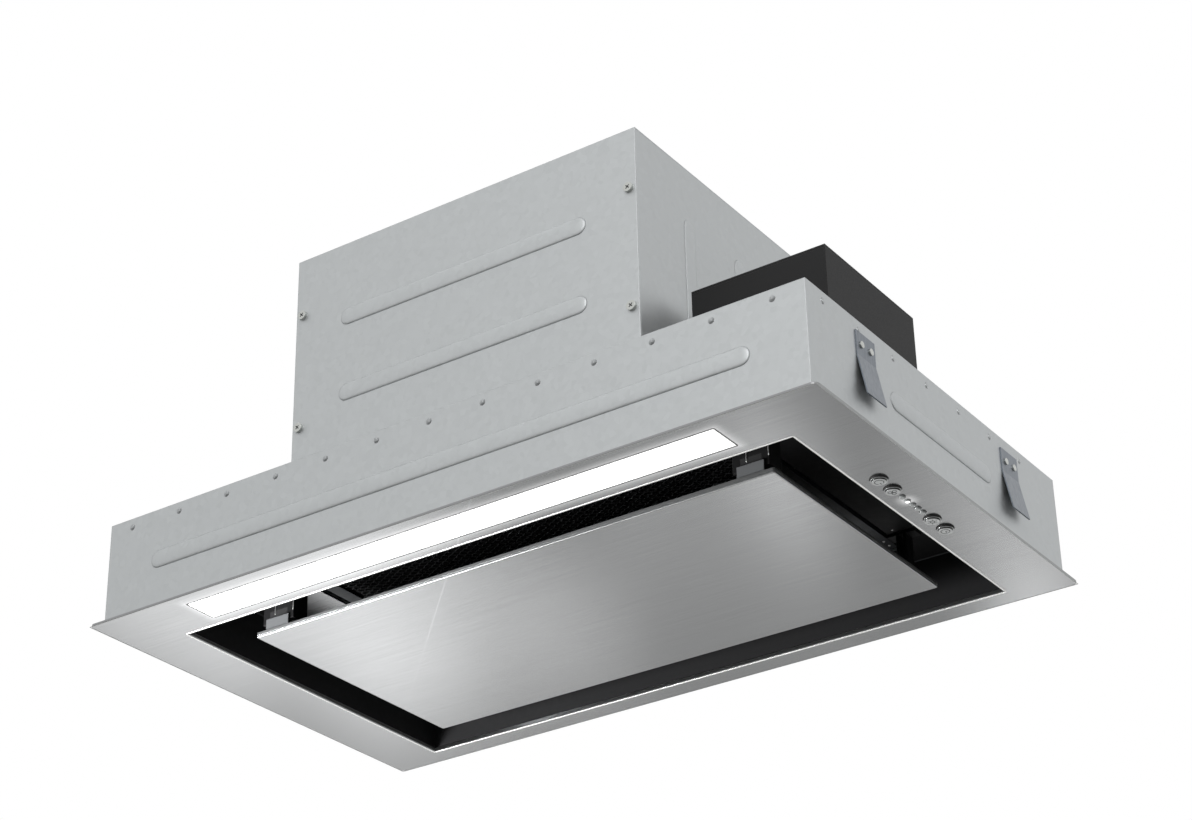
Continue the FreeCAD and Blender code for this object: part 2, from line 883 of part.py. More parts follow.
def lamp_diffuser():
    """Return the opal strip in the lamp slot with the flange it hangs by."""
    strip = box(*grown(lamp_slot(), -slip_gap), trim_bottom, lamp_channel_base)
    flange = box(*grown(lamp_slot(), lamp_flange), trim_top, lamp_channel_base)
    return strip.fuse(flange).removeSplitter()


def lamp_channel():
    """Return the channel that covers the lamp."""
    y0 = lamp_mid_y - lamp_channel_y
    y1 = lamp_mid_y + lamp_channel_y
    x = lamp_channel_x - lamp_cap_thickness
    body = box(-x, x, y0, y1, lamp_channel_base, lamp_channel_top)
    wall = lamp_channel_wall
    hollow_x = x + cut_overrun
    top = lamp_channel_top - wall
    return body.cut(box(-hollow_x, hollow_x, y0 + wall, y1 - wall, lamp_channel_base - cut_overrun, top))


def lamp_cap(side):
    """Return one end cap of the lamp channel."""
    inner = lamp_channel_x - lamp_cap_thickness
    x0, x1 = sorted((side * inner, side * lamp_channel_x))
    y0 = lamp_mid_y - lamp_channel_y
    y1 = lamp_mid_y + lamp_channel_y
    return box(x0, x1, y0, y1, lamp_channel_base, lamp_channel_top)


def lamp_board():
    """Return the long board under the channel's top."""
    x = lamp_channel_x - lamp_cap_thickness - lamp_end_room
    half = lamp_board_width / 2
    top = lamp_channel_top - lamp_channel_wall
    return box(-x, x, lamp_mid_y - half, lamp_mid_y + half, top - lamp_board_thickness, top)


def lamp_chips():
    """Return the row of light chips under the lamp board."""
    half = lamp_chip_size / 2
    top = lamp_channel_top - lamp_channel_wall - lamp_board_thickness
    pitch = lamp_length / lamp_chip_count
    chips = []
    for index in range(lamp_chip_count):
        x = pitch * (index + 1 / 2) - lamp_length / 2
        chips.append(box(x - half, x + half, lamp_mid_y - half, lamp_mid_y + half, top - lamp_chip_height, top))
    return chips


def push_button(y):
    """Return one stepped button with its collar and stem."""
    ledge = trim_bottom - button_rise
    face = ledge - button_step_rise
    collar = carrier_floor_top + seat_gap
    collar_top = collar + button_collar_height
    cap = rod_z(ledge, collar_top, button_x, y, button_radius)
    cap = cap.makeFillet(button_edge_round, level_edges(cap, ledge))
    step = rod_z(face, collar, button_x, y, button_step_radius)
    cap = cap.fuse(step.makeFillet(button_step_round, level_edges(step, face)))
    cap = cap.fuse(rod_z(collar, collar_top, button_x, y, button_collar_radius))
    stem_top = plunger_tip - button_travel - seat_gap
    return cap.fuse(rod_z(collar_top, stem_top, button_x, y, button_stem_radius)).removeSplitter()


def indicator_lenses():
    """Return the five clear light rods."""
    rods = []
    tip = carrier_top - indicator_chip_height - seat_gap
    for y in lens_places():
        low = trim_bottom - lens_rise
        rod = rod_z(low, tip, button_x, y, lens_radius)
        rod = rod.makeFillet(lens_round, level_edges(rod, low))
        ring_top = carrier_floor_top + lens_collar_height
        rods.append(rod.fuse(rod_z(carrier_floor_top, ring_top, button_x, y, lens_collar_radius)).removeSplitter())
    return rods


def control_carrier():
    """Return the moulded tray over the controls that guides the buttons."""
    outline = (carrier_x0, carrier_x1, -carrier_y, carrier_y)
    tray = box(*outline, trim_top, carrier_top)
    tray = tray.cut(box(*grown(outline, -carrier_wall), carrier_floor_top, carrier_top + cut_overrun))
    for y in button_places:
        tray = tray.cut(rod_z(trim_top - cut_overrun, carrier_floor_top + cut_overrun, button_x, y, button_hole_radius))
    for y in lens_places():
        tray = tray.cut(rod_z(trim_top - cut_overrun, carrier_floor_top + cut_overrun, button_x, y, lens_hole_radius))
    return tray


def control_board():
    """Return the board on the carrier's walls."""
    return box(carrier_x0, carrier_x1, -carrier_y, carrier_y, carrier_top, carrier_top + board_thickness)


def control_switches():
    """Return the four switches under the board."""
    half = switch_size / 2
    low = carrier_top - switch_height
    switches = []
    for y in button_places:
        body = box(button_x - half, button_x + half, y - half, y + half, low, carrier_top)
        switches.append(body.fuse(rod_z(plunger_tip, low, button_x, y, plunger_radius)).removeSplitter())
    return switches


def indicator_chips():
    """Return the five light chips over the lenses."""
    half = indicator_chip_size / 2
    low = carrier_top - indicator_chip_height
    chips = []
    for y in lens_places():
        chips.append(box(button_x - half, button_x + half, y - half, y + half, low, carrier_top))
    return chips


def control_cover():
    """Return the cover over the control board."""
    outline = (carrier_x0, carrier_x1, -carrier_y, carrier_y)
    low = carrier_top + board_thickness
    cover = box(*outline, low, low + control_cover_height)
    inside = grown(outline, -carrier_wall)
    return cover.cut(box(*inside, low - cut_overrun, low + control_cover_height - carrier_wall))


def scroll_radius(angle):
    """Return the scroll's radius at an angle from the top towards the front, in radians."""
    turn = math.radians(scroll_turn_angle) + cutoff_radians
    return scroll_start + scroll_growth * (angle + cutoff_radians) / turn


def blower_axis_z():
    """Return the height of the shaft, so that the scroll clears the filter seat."""
    seat_top = filter_seat_top + filter_seat_sheet
    return seat_top + blower_clearance + scroll_wall + scroll_radius(math.pi)


def scroll_top():
    """Return the height of the scroll's outlet, under the motor box's top."""
    return blower_axis_z() + scroll_rise


def scroll_point(angle, wall, x):
    """Return a point on the scroll's curve at an angle, grown by the wall."""
    radius = scroll_radius(angle) + wall
    return Vector(x, blower_axis_y - radius * math.sin(angle), blower_axis_z() + radius * math.cos(angle))


def scroll_first_angle(wall):
    """Return the angle where the scroll's curve, grown by the wall, meets the outlet's front wall."""
    reach = scroll_start * math.sin(cutoff_radians) - wall
    return -math.asin(reach / (scroll_start + wall))


def scroll_prism(wall, x0, x1, top):
    """Return the scroll's filled outline along X, grown by the wall."""
    start = scroll_first_angle(wall)
    end = math.radians(scroll_turn_angle)
    arc_count = 5
    step = (end - start) / arc_count
    edges = []
    for index in range(arc_count):
        a0 = start + step * index
        points = [scroll_point(a0 + step * share, wall, x0) for share in (0, 1 / 2, 1)]
        edges.append(Part.Arc(*points).toShape())
    first = scroll_point(start, wall, x0)
    last = scroll_point(end, wall, x0)
    path = [last, Vector(x0, last.y, top), Vector(x0, first.y, top), first]
    for here, there in zip(path[:-1], path[1:]):
        edges.append(Part.makeLine(here, there))
    wire = Part.Wire(Part.__sortEdges__(edges))
    return Part.Face(wire).extrude(Vector(x1 - x0, 0, 0))


def scroll_half(side):
    """Return one half of the scroll, split at the middle plane, with its inlet ring."""
    x0, x1 = sorted((0, side * scroll_outer_x))
    solid = scroll_prism(scroll_wall, x0, x1, scroll_top())
    h0, h1 = sorted((-side * cut_overrun, side * scroll_inner_x))
    solid = solid.cut(scroll_prism(0, h0, h1, scroll_top() + cut_overrun))
    lip0, lip1 = sorted((side * scroll_outer_x, side * (scroll_outer_x + scroll_inlet_lip)))
    lip_radius = scroll_inlet_radius + scroll_inlet_lip_wall
    solid = solid.fuse(rod_x(lip0, lip1, blower_axis_y, blower_axis_z(), lip_radius))
    c0, c1 = sorted((side * (scroll_inner_x - cut_overrun), side * (scroll_outer_x + scroll_inlet_lip + cut_overrun)))
    return solid.cut(rod_x(c0, c1, blower_axis_y, blower_axis_z(), scroll_inlet_radius)).removeSplitter()


def blade(index):
    """Return one forward-curved blade over the impeller's whole width."""
    turn = 2 * math.pi * index / impeller_blade_count
    inner = impeller_radius - impeller_blade_depth
    middle = impeller_radius - impeller_blade_depth / 2
    lean = impeller_blade_lean / impeller_radius
    near = wheel_point(inner, turn)
    bulge = wheel_point(middle, turn - lean / 2)
    far = wheel_point(impeller_radius - slip_gap, turn + lean)
    offset = impeller_blade_sheet / impeller_radius
    near_2 = wheel_point(inner, turn + offset)
    bulge_2 = wheel_point(middle, turn - lean / 2 + offset)
    far_2 = wheel_point(impeller_radius - slip_gap, turn + lean + offset)
    edges = [Part.Arc(near, bulge, far).toShape(), Part.makeLine(far, far_2)]
    edges += [Part.Arc(far_2, bulge_2, near_2).toShape(), Part.makeLine(near_2, near)]
    face = Part.Face(Part.Wire(edges))
    return face.extrude(Vector(2 * impeller_half_width, 0, 0))


def wheel_point(radius, angle):
    """Return a point on the impeller's left end at a radius and an angle from the top."""
    y = blower_axis_y - radius * math.sin(angle)
    return Vector(-impeller_half_width, y, blower_axis_z() + radius * math.cos(angle))


def impeller():
    """Return the double-inlet wheel: middle disc, hub, blades and end rings."""
    y = blower_axis_y
    z = blower_axis_z()
    disc = rod_x(-impeller_disc / 2, impeller_disc / 2, y, z, impeller_radius)
    hub = rod_x(-hub_back, hub_front, y, z, hub_radius)
    pieces = [hub] + [blade(index) for index in range(impeller_blade_count)]
    for x in (-impeller_half_width, impeller_half_width - impeller_ring_width):
        ring = rod_x(x, x + impeller_ring_width, y, z, impeller_radius)
        bore_radius = impeller_radius - impeller_ring_depth
        bore = rod_x(x - cut_overrun, x + impeller_ring_width + cut_overrun, y, z, bore_radius)
        pieces.append(ring.cut(bore))
    wheel = disc.multiFuse(pieces)
    return wheel.cut(rod_x(-hub_back - cut_overrun, hub_front + cut_overrun, y, z, shaft_radius))


def motor_end():
    """Return the X of the motor's outer end."""
    return motor_start + motor_length


def shaft():
    """Return the shaft that carries the impeller and runs in the motor's bearings."""
    return rod_x(-hub_back - shaft_overhang, motor_end() + shaft_overhang, blower_axis_y, blower_axis_z(), shaft_radius)


def motor():
    """Return the motor's can with bearing seats."""
    y = blower_axis_y
    z = blower_axis_z()
    x0 = motor_start
    x1 = motor_end()
    can = rod_x(x0, x1, y, z, motor_radius)
    rims = [edge for edge in can.Edges if edge.BoundBox.XLength < seat_gap]
    can = can.makeFillet(motor_edge_round, rims)
    can = can.cut(rod_x(x0 - cut_overrun, x1 + cut_overrun, y, z, shaft_radius + seat_gap))
    can = can.cut(rod_x(x0 - cut_overrun, x0 + bearing_length, y, z, bearing_radius))
    return can.cut(rod_x(x1 - bearing_length, x1 + cut_overrun, y, z, bearing_radius))


def bearings():
    """Return the two sleeve bearings in the motor's ends."""
    y = blower_axis_y
    z = blower_axis_z()
    rings = []
    for x in (motor_start, motor_end() - bearing_length):
        ring = rod_x(x, x + bearing_length, y, z, bearing_radius)
        bore = rod_x(x - cut_overrun, x + bearing_length + cut_overrun, y, z, shaft_radius + pin_gap)
        rings.append(ring.cut(bore))
    return rings


def bush_places():
    """Return the (y, z) places of the rubber bushes at the bracket arms' ends."""
    places = []
    for angle in bracket_arm_angles:
        turn = math.radians(angle)
        y = blower_axis_y - bracket_reach * math.sin(turn)
        places.append((y, blower_axis_z() + bracket_reach * math.cos(turn)))
    return places


def motor_bracket():
    """Return the three-armed bracket between the motor's end and the scroll."""
    y = blower_axis_y
    z = blower_axis_z()
    x0 = motor_end()
    x1 = x0 + bracket_sheet
    plate = rod_x(x0, x1, y, z, bracket_ring_radius)
    half = bracket_arm_width / 2
    for angle in bracket_arm_angles:
        arm = box(x0, x1, y - half, y + half, z, z + bracket_reach)
        arm.rotate(Vector(x0, y, z), Vector(1, 0, 0), angle)
        plate = plate.fuse(arm)
    for bush_y, bush_z in bush_places():
        plate = plate.fuse(rod_x(x0, x1, bush_y, bush_z, half))
        plate = plate.cut(rod_x(x0 - cut_overrun, x1 + cut_overrun, bush_y, bush_z, bush_hole_radius))
    return plate.cut(rod_x(x0 - cut_overrun, x1 + cut_overrun, y, z, bracket_ring_hole)).removeSplitter()


def motor_bushes():
    """Return the rubber bushes between the scroll's side and the bracket's arms."""
    bushes = []
    for y, z in bush_places():
        bush = rod_x(scroll_outer_x, motor_end(), y, z, bush_radius)
        hole = rod_x(scroll_outer_x - cut_overrun, motor_end() + cut_overrun, y, z, bush_hole_radius)
        bushes.append(bush.cut(hole))
    return bushes


def bush_screws():
    """Return the screws through the bracket's arms and bushes."""
    screws = []
    x = motor_end() + bracket_sheet
    radius = bush_hole_radius - screw_hole_gap
    for y, z in bush_places():
        head = rod_x(x, x + screw_head_height, y, z, bush_radius)
        screws.append(head.fuse(rod_x(scroll_outer_x, x, y, z, radius)).removeSplitter())
    return screws


def box_wrap():
    """Return the folded front, top and back of the motor box with its feet."""
    y0 = box_front()
    y1 = box_back
    z1 = scroll_top() + box_sheet
    x = box_half_width
    wrap = box(-x, x, y0, y1, box_bottom, z1)
    inner_y = (y0 + box_sheet, y1 - box_sheet)
    reach = x + cut_overrun
    wrap = wrap.cut(box(-reach, reach, *inner_y, box_bottom - cut_overrun, scroll_top()))
    foot_top = box_bottom + box_sheet
    wrap = wrap.fuse(box(-x, x, y0 - box_foot, y0, box_bottom, foot_top))
    wrap = wrap.fuse(box(-x, x, y1, y1 + box_foot, box_bottom, foot_top))
    mouth_radius = collar_outer_radius - collar_wall
    wrap = wrap.cut(rod_z(scroll_top() - cut_overrun, z1 + cut_overrun, 0, collar_y, mouth_radius))
    wrap = cut_screw_holes(wrap, collar_screw_places(), scroll_top(), z1)
    wrap = cut_screw_holes(wrap, box_screw_places(), box_bottom, foot_top)
    for x, y, z in side_screw_places():
        wrap = wrap.cut(side_screw_hole(x, y, z))
    return wrap.removeSplitter()


def side_screw_places():
    """Return the (x, y, z) seats of the screws through the wrap into the end plates' flanges."""
    places = []
    x = box_half_width - box_sheet - box_flange / 2
    height = scroll_top() - box_bottom
    for share in (1 / 4, 3 / 4):
        for side in (-1, 1):
            places.append((side * x, box_front(), box_bottom + height * share))
            places.append((side * x, box_back, box_bottom + height * share))
    return places


def side_screw_hole(x, y, z):
    """Return the cutter of a screw hole along Y through the wrap and a flange."""
    reach = 2 * box_sheet + cut_overrun
    return rod_y(y - reach, y + reach, x, z, screw_shank_radius + screw_hole_gap)


def side_screw(x, y, z):
    """Return one screw along Y into the motor box."""
    inward = 1 if y < blower_axis_y else -1
    head_y = sorted((y, y - inward * screw_head_height))
    shank_y = sorted((y, y + inward * screw_reach))
    head = rod_y(*head_y, x, z, screw_head_radius)
    return head.fuse(rod_y(*shank_y, x, z, screw_shank_radius)).removeSplitter()


def lead_z():
    """Return the height of the motor lead."""
    return blower_axis_z() - lead_drop


def end_plate(side):
    """Return one end plate of the motor box with flanges inside the wrap."""
    x0, x1 = sorted((side * (box_half_width - box_sheet), side * box_half_width))
    f0, f1 = sorted((side * (box_half_width - box_sheet - box_flange), side * (box_half_width - box_sheet)))
    y0 = box_front() + box_sheet
    y1 = box_back - box_sheet
    z1 = scroll_top()
    plate = box(x0, x1, y0, y1, box_bottom, z1)
    plate = plate.fuse(box(f0, f1, y0, y0 + box_sheet, box_bottom, z1))
    plate = plate.fuse(box(f0, f1, y1 - box_sheet, y1, box_bottom, z1))
    for x, y, z in side_screw_places():
        if x * side > 0:
            plate = plate.cut(side_screw_hole(x, y, z))
    if side > 0:
        hole = rod_x(x0 - cut_overrun, x1 + cut_overrun, blower_axis_y, lead_z(), grommet_radius - grommet_flange)
        plate = plate.cut(hole)
    return plate.removeSplitter()


def collar_base():
    """Return the height of the collar's foot on the motor box."""
    return scroll_top() + box_sheet


def collar_screw_places():
    """Return the (x, y) places of the collar's screws."""
    places = []
    for index in range(collar_screw_count):
        turn = 2 * math.pi * (index + 1 / 2) / collar_screw_count
        x = collar_screw_radius * math.cos(turn)
        places.append((x, collar_y + collar_screw_radius * math.sin(turn)))
    return places


def flap_level():
    """Return the height of the flaps' lower face."""
    return collar_base() + collar_ledge_height + flap_seat_gap


def spindle_z():
    """Return the height of the flaps' spindle."""
    return flap_level() + flap_thickness / 2


def outlet_collar():
    """Return the collar's tube with its spigot, its ledge under the flaps and its spindle holes."""
    base = collar_base()
    shoulder = base + collar_flange_thickness
    inner = collar_outer_radius - collar_wall
    spigot = rod_z(base, shoulder, 0, collar_y, collar_outer_radius - collar_spigot_step)
    body = spigot.fuse(rod_z(shoulder, base + collar_height, 0, collar_y, collar_outer_radius))
    body = body.cut(rod_z(base - cut_overrun, base + collar_height + cut_overrun, 0, collar_y, inner))
    ledge_top = base + collar_ledge_height
    ledge = rod_z(ledge_top - collar_ledge_thickness, ledge_top, 0, collar_y, inner)
    mouth = rod_z(ledge_top - cut_overrun, ledge_top + cut_overrun, 0, collar_y, inner - collar_ledge)
    notch = 2 * knuckle_radius
    gate = box(-inner, inner, collar_y - notch, collar_y + notch, ledge_top - cut_overrun, ledge_top + cut_overrun)
    body = body.fuse(ledge.cut(mouth).cut(gate))
    reach = collar_outer_radius + cut_overrun
    return body.cut(rod_x(-reach, reach, collar_y, spindle_z(), spindle_radius + pin_gap)).removeSplitter()


def collar_ring():
    """Return the ring round the collar's spigot that is screwed to the motor box and carries the tube."""
    base = collar_base()
    top = base + collar_flange_thickness
    ring = rod_z(base, top, 0, collar_y, collar_flange_radius)
    hole_radius = collar_outer_radius - collar_spigot_step + collar_ring_gap
    ring = ring.cut(rod_z(base - cut_overrun, top + cut_overrun, 0, collar_y, hole_radius))
    return cut_screw_holes(ring, collar_screw_places(), base, top)


def spindle():
    """Return the rod across the collar that both flaps hang on."""
    reach = collar_outer_radius - collar_wall / 2
    return rod_x(-reach, reach, collar_y, spindle_z(), spindle_radius)


def flap(side):
    """Return one half-moon flap; side -1 is the front one."""
    radius = collar_outer_radius - collar_wall - flap_edge_gap
    disc = rod_z(flap_level(), flap_level() + flap_thickness, 0, collar_y, radius)
    y0, y1 = sorted((side * (knuckle_radius + knuckle_side_gap), side * (radius + cut_overrun)))
    keep = box(-radius, radius, collar_y + y0, collar_y + y1, flap_level() - cut_overrun, flap_level() + cut_overrun)
    plate = disc.common(keep)
    for x0, x1 in knuckle_spans(side):
        knuckle = rod_x(x0, x1, collar_y, spindle_z(), knuckle_radius)
        w0, w1 = sorted((0, side * (knuckle_radius + 2 * knuckle_side_gap)))
        web = box(x0, x1, collar_y + w0, collar_y + w1, flap_level(), flap_level() + flap_thickness)
        plate = plate.fuse(knuckle).fuse(web)
    bore_radius = spindle_radius + knuckle_bore_gap
    return plate.cut(rod_x(-radius, radius, collar_y, spindle_z(), bore_radius)).removeSplitter()


def knuckle_spans(side):
    """Return the X spans of one flap's knuckles; the other flap's lie between them."""
    pitch = knuckle_length + knuckle_side_gap
    starts = (-2 * pitch, 0) if side < 0 else (-pitch, pitch)
    return [(start, start + knuckle_length) for start in starts]


def electrics_outline():
    """Return the outline of the electrics box."""
    return (electrics_x0, electrics_x1, electrics_y0, electrics_y1)


def gland_place():
    """Return the (x, z) place of the cable gland in the electrics box's back wall."""
    return electrics_x1 - gland_inset, box_bottom + gland_height


def electrics_box():
    """Return the moulded electrics box, open at the top, with its two cable holes."""
    outline = electrics_outline()
    shell = box(*outline, box_bottom, electrics_top)
    inside = grown(outline, -electrics_wall)
    shell = shell.cut(box(*inside, box_bottom + electrics_wall, electrics_top + cut_overrun))
    x, z = gland_place()
    shell = shell.cut(rod_y(electrics_y1 - electrics_wall - cut_overrun, electrics_y1 + cut_overrun, x, z, gland_radius))
    x0 = electrics_x0 - cut_overrun
    x1 = electrics_x0 + electrics_wall + cut_overrun
    return shell.cut(rod_x(x0, x1, blower_axis_y, lead_z(), grommet_radius - grommet_flange))


def electrics_lid_piece():
    """Return the lid of the electrics box with a rim inside its walls."""
    outline = electrics_outline()
    lid = box(*outline, electrics_top, electrics_top + electrics_lid)
    rim_outer = grown(outline, -electrics_wall - slip_gap)
    rim = frame_box(rim_outer, grown(rim_outer, -electrics_wall), electrics_top - electrics_lid_rim, electrics_top)
    return lid.fuse(rim).removeSplitter()


def terminal_block():
    """Return the terminal block on the electrics box's floor."""
    floor = box_bottom + electrics_wall
    x = electrics_x1 - terminal_inset
    y = electrics_y1 - terminal_inset
    half_x = terminal_width / 2
    return box(x - half_x, x + half_x, y - terminal_length, y, floor, floor + terminal_height)


def capacitor():
    """Return the run capacitor lying on the electrics box's floor."""
    floor = box_bottom + electrics_wall
    y0 = electrics_y0 + capacitor_inset / 2
    x = electrics_x0 + capacitor_inset
    return rod_y(y0, y0 + capacitor_length, x, floor + capacitor_radius, capacitor_radius)


def cable_gland():
    """Return the cable gland in the electrics box's back wall."""
    x, z = gland_place()
    inner = electrics_y1 - electrics_wall - gland_nut_length
    outer = electrics_y1 + gland_reach
    body = rod_y(inner, outer, x, z, gland_radius)
    body = body.fuse(rod_y(inner, electrics_y1 - electrics_wall, x, z, gland_nut_radius))
    body = body.fuse(rod_y(electrics_y1, electrics_y1 + gland_nut_length, x, z, gland_nut_radius))
    return body.cut(rod_y(inner - cut_overrun, outer + cut_overrun, x, z, gland_bore)).removeSplitter()


def motor_lead():
    """Return the lead from the motor's end into the electrics box."""
    return rod_x(motor_end(), electrics_x0 + electrics_wall + lead_inside, blower_axis_y, lead_z(), lead_radius)


def grommet(x0, x1):
    """Return a rubber grommet through a wall between two X faces."""
    y = blower_axis_y
    z = lead_z()
    body = rod_x(x0 - grommet_flange, x1 + grommet_flange, y, z, grommet_radius - grommet_flange)
    body = body.fuse(rod_x(x0 - grommet_flange, x0, y, z, grommet_radius))
    body = body.fuse(rod_x(x1, x1 + grommet_flange, y, z, grommet_radius))
    hole = rod_x(x0 - 2 * grommet_flange, x1 + 2 * grommet_flange, y, z, lead_radius)
    return body.cut(hole).removeSplitter()


def lead_grommets():
    """Return the grommets in the motor box's end and in the electrics box."""
    plate = grommet(box_half_width - box_sheet, box_half_width)
    return [plate, grommet(electrics_x0, electrics_x0 + electrics_wall)]


def spring_clip(side, y):
    """Return one spring clip on a side of the casing."""
    half = clip_width / 2
    wall = side * casing_x
    out = side * clip_sheet
    tip = side * clip_flare
    points = [(wall, clip_top), (wall + out, clip_top), (wall + out, clip_bend)]
    points += [(wall + tip + out, clip_tip), (wall + tip, clip_tip), (wall, clip_bend)]
    return prism_y(points, y - half, y + half)


def clip_places():
    """Return the side and Y of the four spring clips."""
    return [(side, shift * clip_spread / 2) for side in (-1, 1) for shift in (-1, 1)]


def clip_rivets():
    """Return the rivet heads on the spring clips."""
    heads = []
    z = clip_top - clip_rivet_drop
    for side, y in clip_places():
        inner = side * (casing_x + clip_sheet)
        x0, x1 = sorted((inner, inner + side * rivet_head_height))
        for shift in (-clip_rivet_spread / 2, clip_rivet_spread / 2):
            heads.append(rod_x(x0, x1, y + shift, z, rivet_head_radius))
    return heads


def pan_screws():
    """Return the equal screws of the deck, the motor box and the collar."""
    foot_seat = box_bottom + box_sheet
    collar_seat = collar_base() + collar_flange_thickness
    screws = [screw_down(x, y, deck_top) for x, y in deck_screw_places()]
    screws += [screw_down(x, y, foot_seat) for x, y in box_screw_places()]
    screws += [screw_down(x, y, collar_seat) for x, y in collar_screw_places()]
    return screws + [side_screw(x, y, z) for x, y, z in side_screw_places()]


def build_trim_and_recess():
    """Write the trim, the recess and the casing."""
    save("trim_frame", trim_frame())
    save("recess_liner", recess_liner())
    save("filter_deck", filter_deck())
    save("casing", casing())
    save("spring_clips", [spring_clip(side, y) for side, y in clip_places()])
    save("clip_rivets", clip_rivets())


def build_panel():
    """Write the suction panel with its catches and hinges."""
    save("panel_skin", panel_skin())
    save("panel_stiffeners", [panel_stiffener(y) for y in stiffener_places()])
    save("panel_rivets", panel_rivets())
    save("catch_tabs", [catch_tab(side) for side in (-1, 1)])
    save("hinge_ears", [hinge_ear(side) for side in (-1, 1)])
    save("catch_blocks", [catch_block(side) for side in (-1, 1)])
    save("catch_magnets", [catch_magnet(side) for side in (-1, 1)])
    save("hinge_brackets", [hinge_bracket(side) for side in (-1, 1)])
    save("hinge_pins", [hinge_pin(side) for side in (-1, 1)])


def build_filter():
    """Write the grease filter, its seat and its latch."""
    save("filter_seat", filter_seat())
    save("filter_frame", filter_frame())
    save("filter_meshes", filter_meshes())
    save("filter_core", filter_core())
    save("filter_latch", filter_latch())


def build_lamp():
    """Write the lamp."""
    save("lamp_diffuser", lamp_diffuser())
    save("lamp_channel", lamp_channel())
    save("lamp_caps", [lamp_cap(side) for side in (-1, 1)])
    save("lamp_board", lamp_board())
    save("lamp_chips", lamp_chips())


def build_controls():
    """Write the buttons and what is behind them."""
    for index, y in enumerate(button_places):
        save("button_" + str(index + 1), push_button(y))
    save("indicator_lenses", indicator_lenses())
    save("control_carrier", control_carrier())
    save("control_board", control_board())
    save("control_switches", control_switches())
    save("indicator_chips", indicator_chips())
    save("control_cover", control_cover())


def build_blower():
    """Write the blower and its motor."""
    save("scroll_left", scroll_half(-1))
    save("scroll_right", scroll_half(1))
    save("impeller", impeller())
    save("shaft", shaft())
    save("motor", motor())
    save("motor_bearings", bearings())
    save("motor_bracket", motor_bracket())
    save("motor_bushes", motor_bushes())
    save("bush_screws", bush_screws())


def build_motor_box():
    """Write the motor box and the outlet collar."""
    save("box_wrap", box_wrap())
    save("box_end_left", end_plate(-1))
    save("box_end_right", end_plate(1))
    save("outlet_collar", outlet_collar())
    save("collar_ring", collar_ring())
    save("flap_spindle", spindle())
    save("flap_front", flap(-1))
    save("flap_back", flap(1))
    save("pan_screws", pan_screws())


def build_electrics():
    """Write the electrics box and the motor lead."""
    save("electrics_box", electrics_box())
    save("electrics_lid", electrics_lid_piece())
    save("terminal_block", terminal_block())
    save("capacitor", capacitor())
    save("cable_gland", cable_gland())
    save("motor_lead", motor_lead())
    save("lead_grommets", lead_grommets())


os.makedirs("parts", exist_ok=True)
build_trim_and_recess()
build_panel()
build_filter()
build_lamp()
build_controls()
build_blower()
build_motor_box()
build_electrics()
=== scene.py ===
"""Built-in canopy range hood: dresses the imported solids, adds the fine pieces and sets up the studio."""
import logging
import math
from dataclasses import dataclass
from enum import Enum

import bmesh
import bpy
import numpy as np
from mathutils import Matrix, Vector


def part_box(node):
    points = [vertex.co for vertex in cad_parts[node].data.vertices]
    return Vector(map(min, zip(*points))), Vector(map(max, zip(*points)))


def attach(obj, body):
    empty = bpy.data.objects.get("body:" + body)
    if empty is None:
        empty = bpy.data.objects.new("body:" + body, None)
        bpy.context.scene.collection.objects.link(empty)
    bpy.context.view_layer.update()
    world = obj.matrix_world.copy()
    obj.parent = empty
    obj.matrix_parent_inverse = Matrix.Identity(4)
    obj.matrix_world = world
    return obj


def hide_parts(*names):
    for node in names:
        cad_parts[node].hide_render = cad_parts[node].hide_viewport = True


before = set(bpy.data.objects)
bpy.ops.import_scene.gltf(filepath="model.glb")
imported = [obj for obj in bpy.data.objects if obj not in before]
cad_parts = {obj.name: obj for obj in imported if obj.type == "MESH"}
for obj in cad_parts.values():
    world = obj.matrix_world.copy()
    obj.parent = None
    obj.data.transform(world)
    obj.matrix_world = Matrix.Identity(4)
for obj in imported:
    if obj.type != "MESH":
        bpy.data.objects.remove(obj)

LOG = logging.getLogger("range_hood")
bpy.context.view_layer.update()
MM = 0.001

# Short names for types: places in a plane and in space, the points and faces of a surface, shader nodes.
Pair = tuple[float, float]
Triple = tuple[float, float, float]
Shape = tuple[np.ndarray, np.ndarray]
Tree = bpy.types.NodeTree
Node = bpy.types.Node

# How near two points count as one, in metres: in a new mesh, in a speck of a face and in a solid's mesh.
MERGE = 1e-7
SPECK = 1e-8
SAME_PLACE = 0.001 * MM

# How finely small round forms are divided, and how many times their rise is more than their foot.
BEAD_CAP_STEPS = 6
BEAD_STEPS = 16
BEAD_FOOT = 12
DOME_STEPS = 7
DOME_FOOT = 8
STUD_STEPS = 20


def linear(code: str) -> tuple[float, float, float, float]:
    """Turns an sRGB hex colour into linear RGBA: c / 12.92 up to 0.04045, ((c + 0.055) / 1.055)^2.4 above.

    Args:
        code: six hex digits with a leading #.

    Returns:
        Linear red, green, blue and an alpha of 1.
    """
    parts = [int(code[i:i + 2], 16) / 255 for i in (1, 3, 5)]
    red, green, blue = [p / 12.92 if p <= 0.04045 else ((p + 0.055) / 1.055) ** 2.4 for p in parts]
    return (red, green, blue, 1.0)


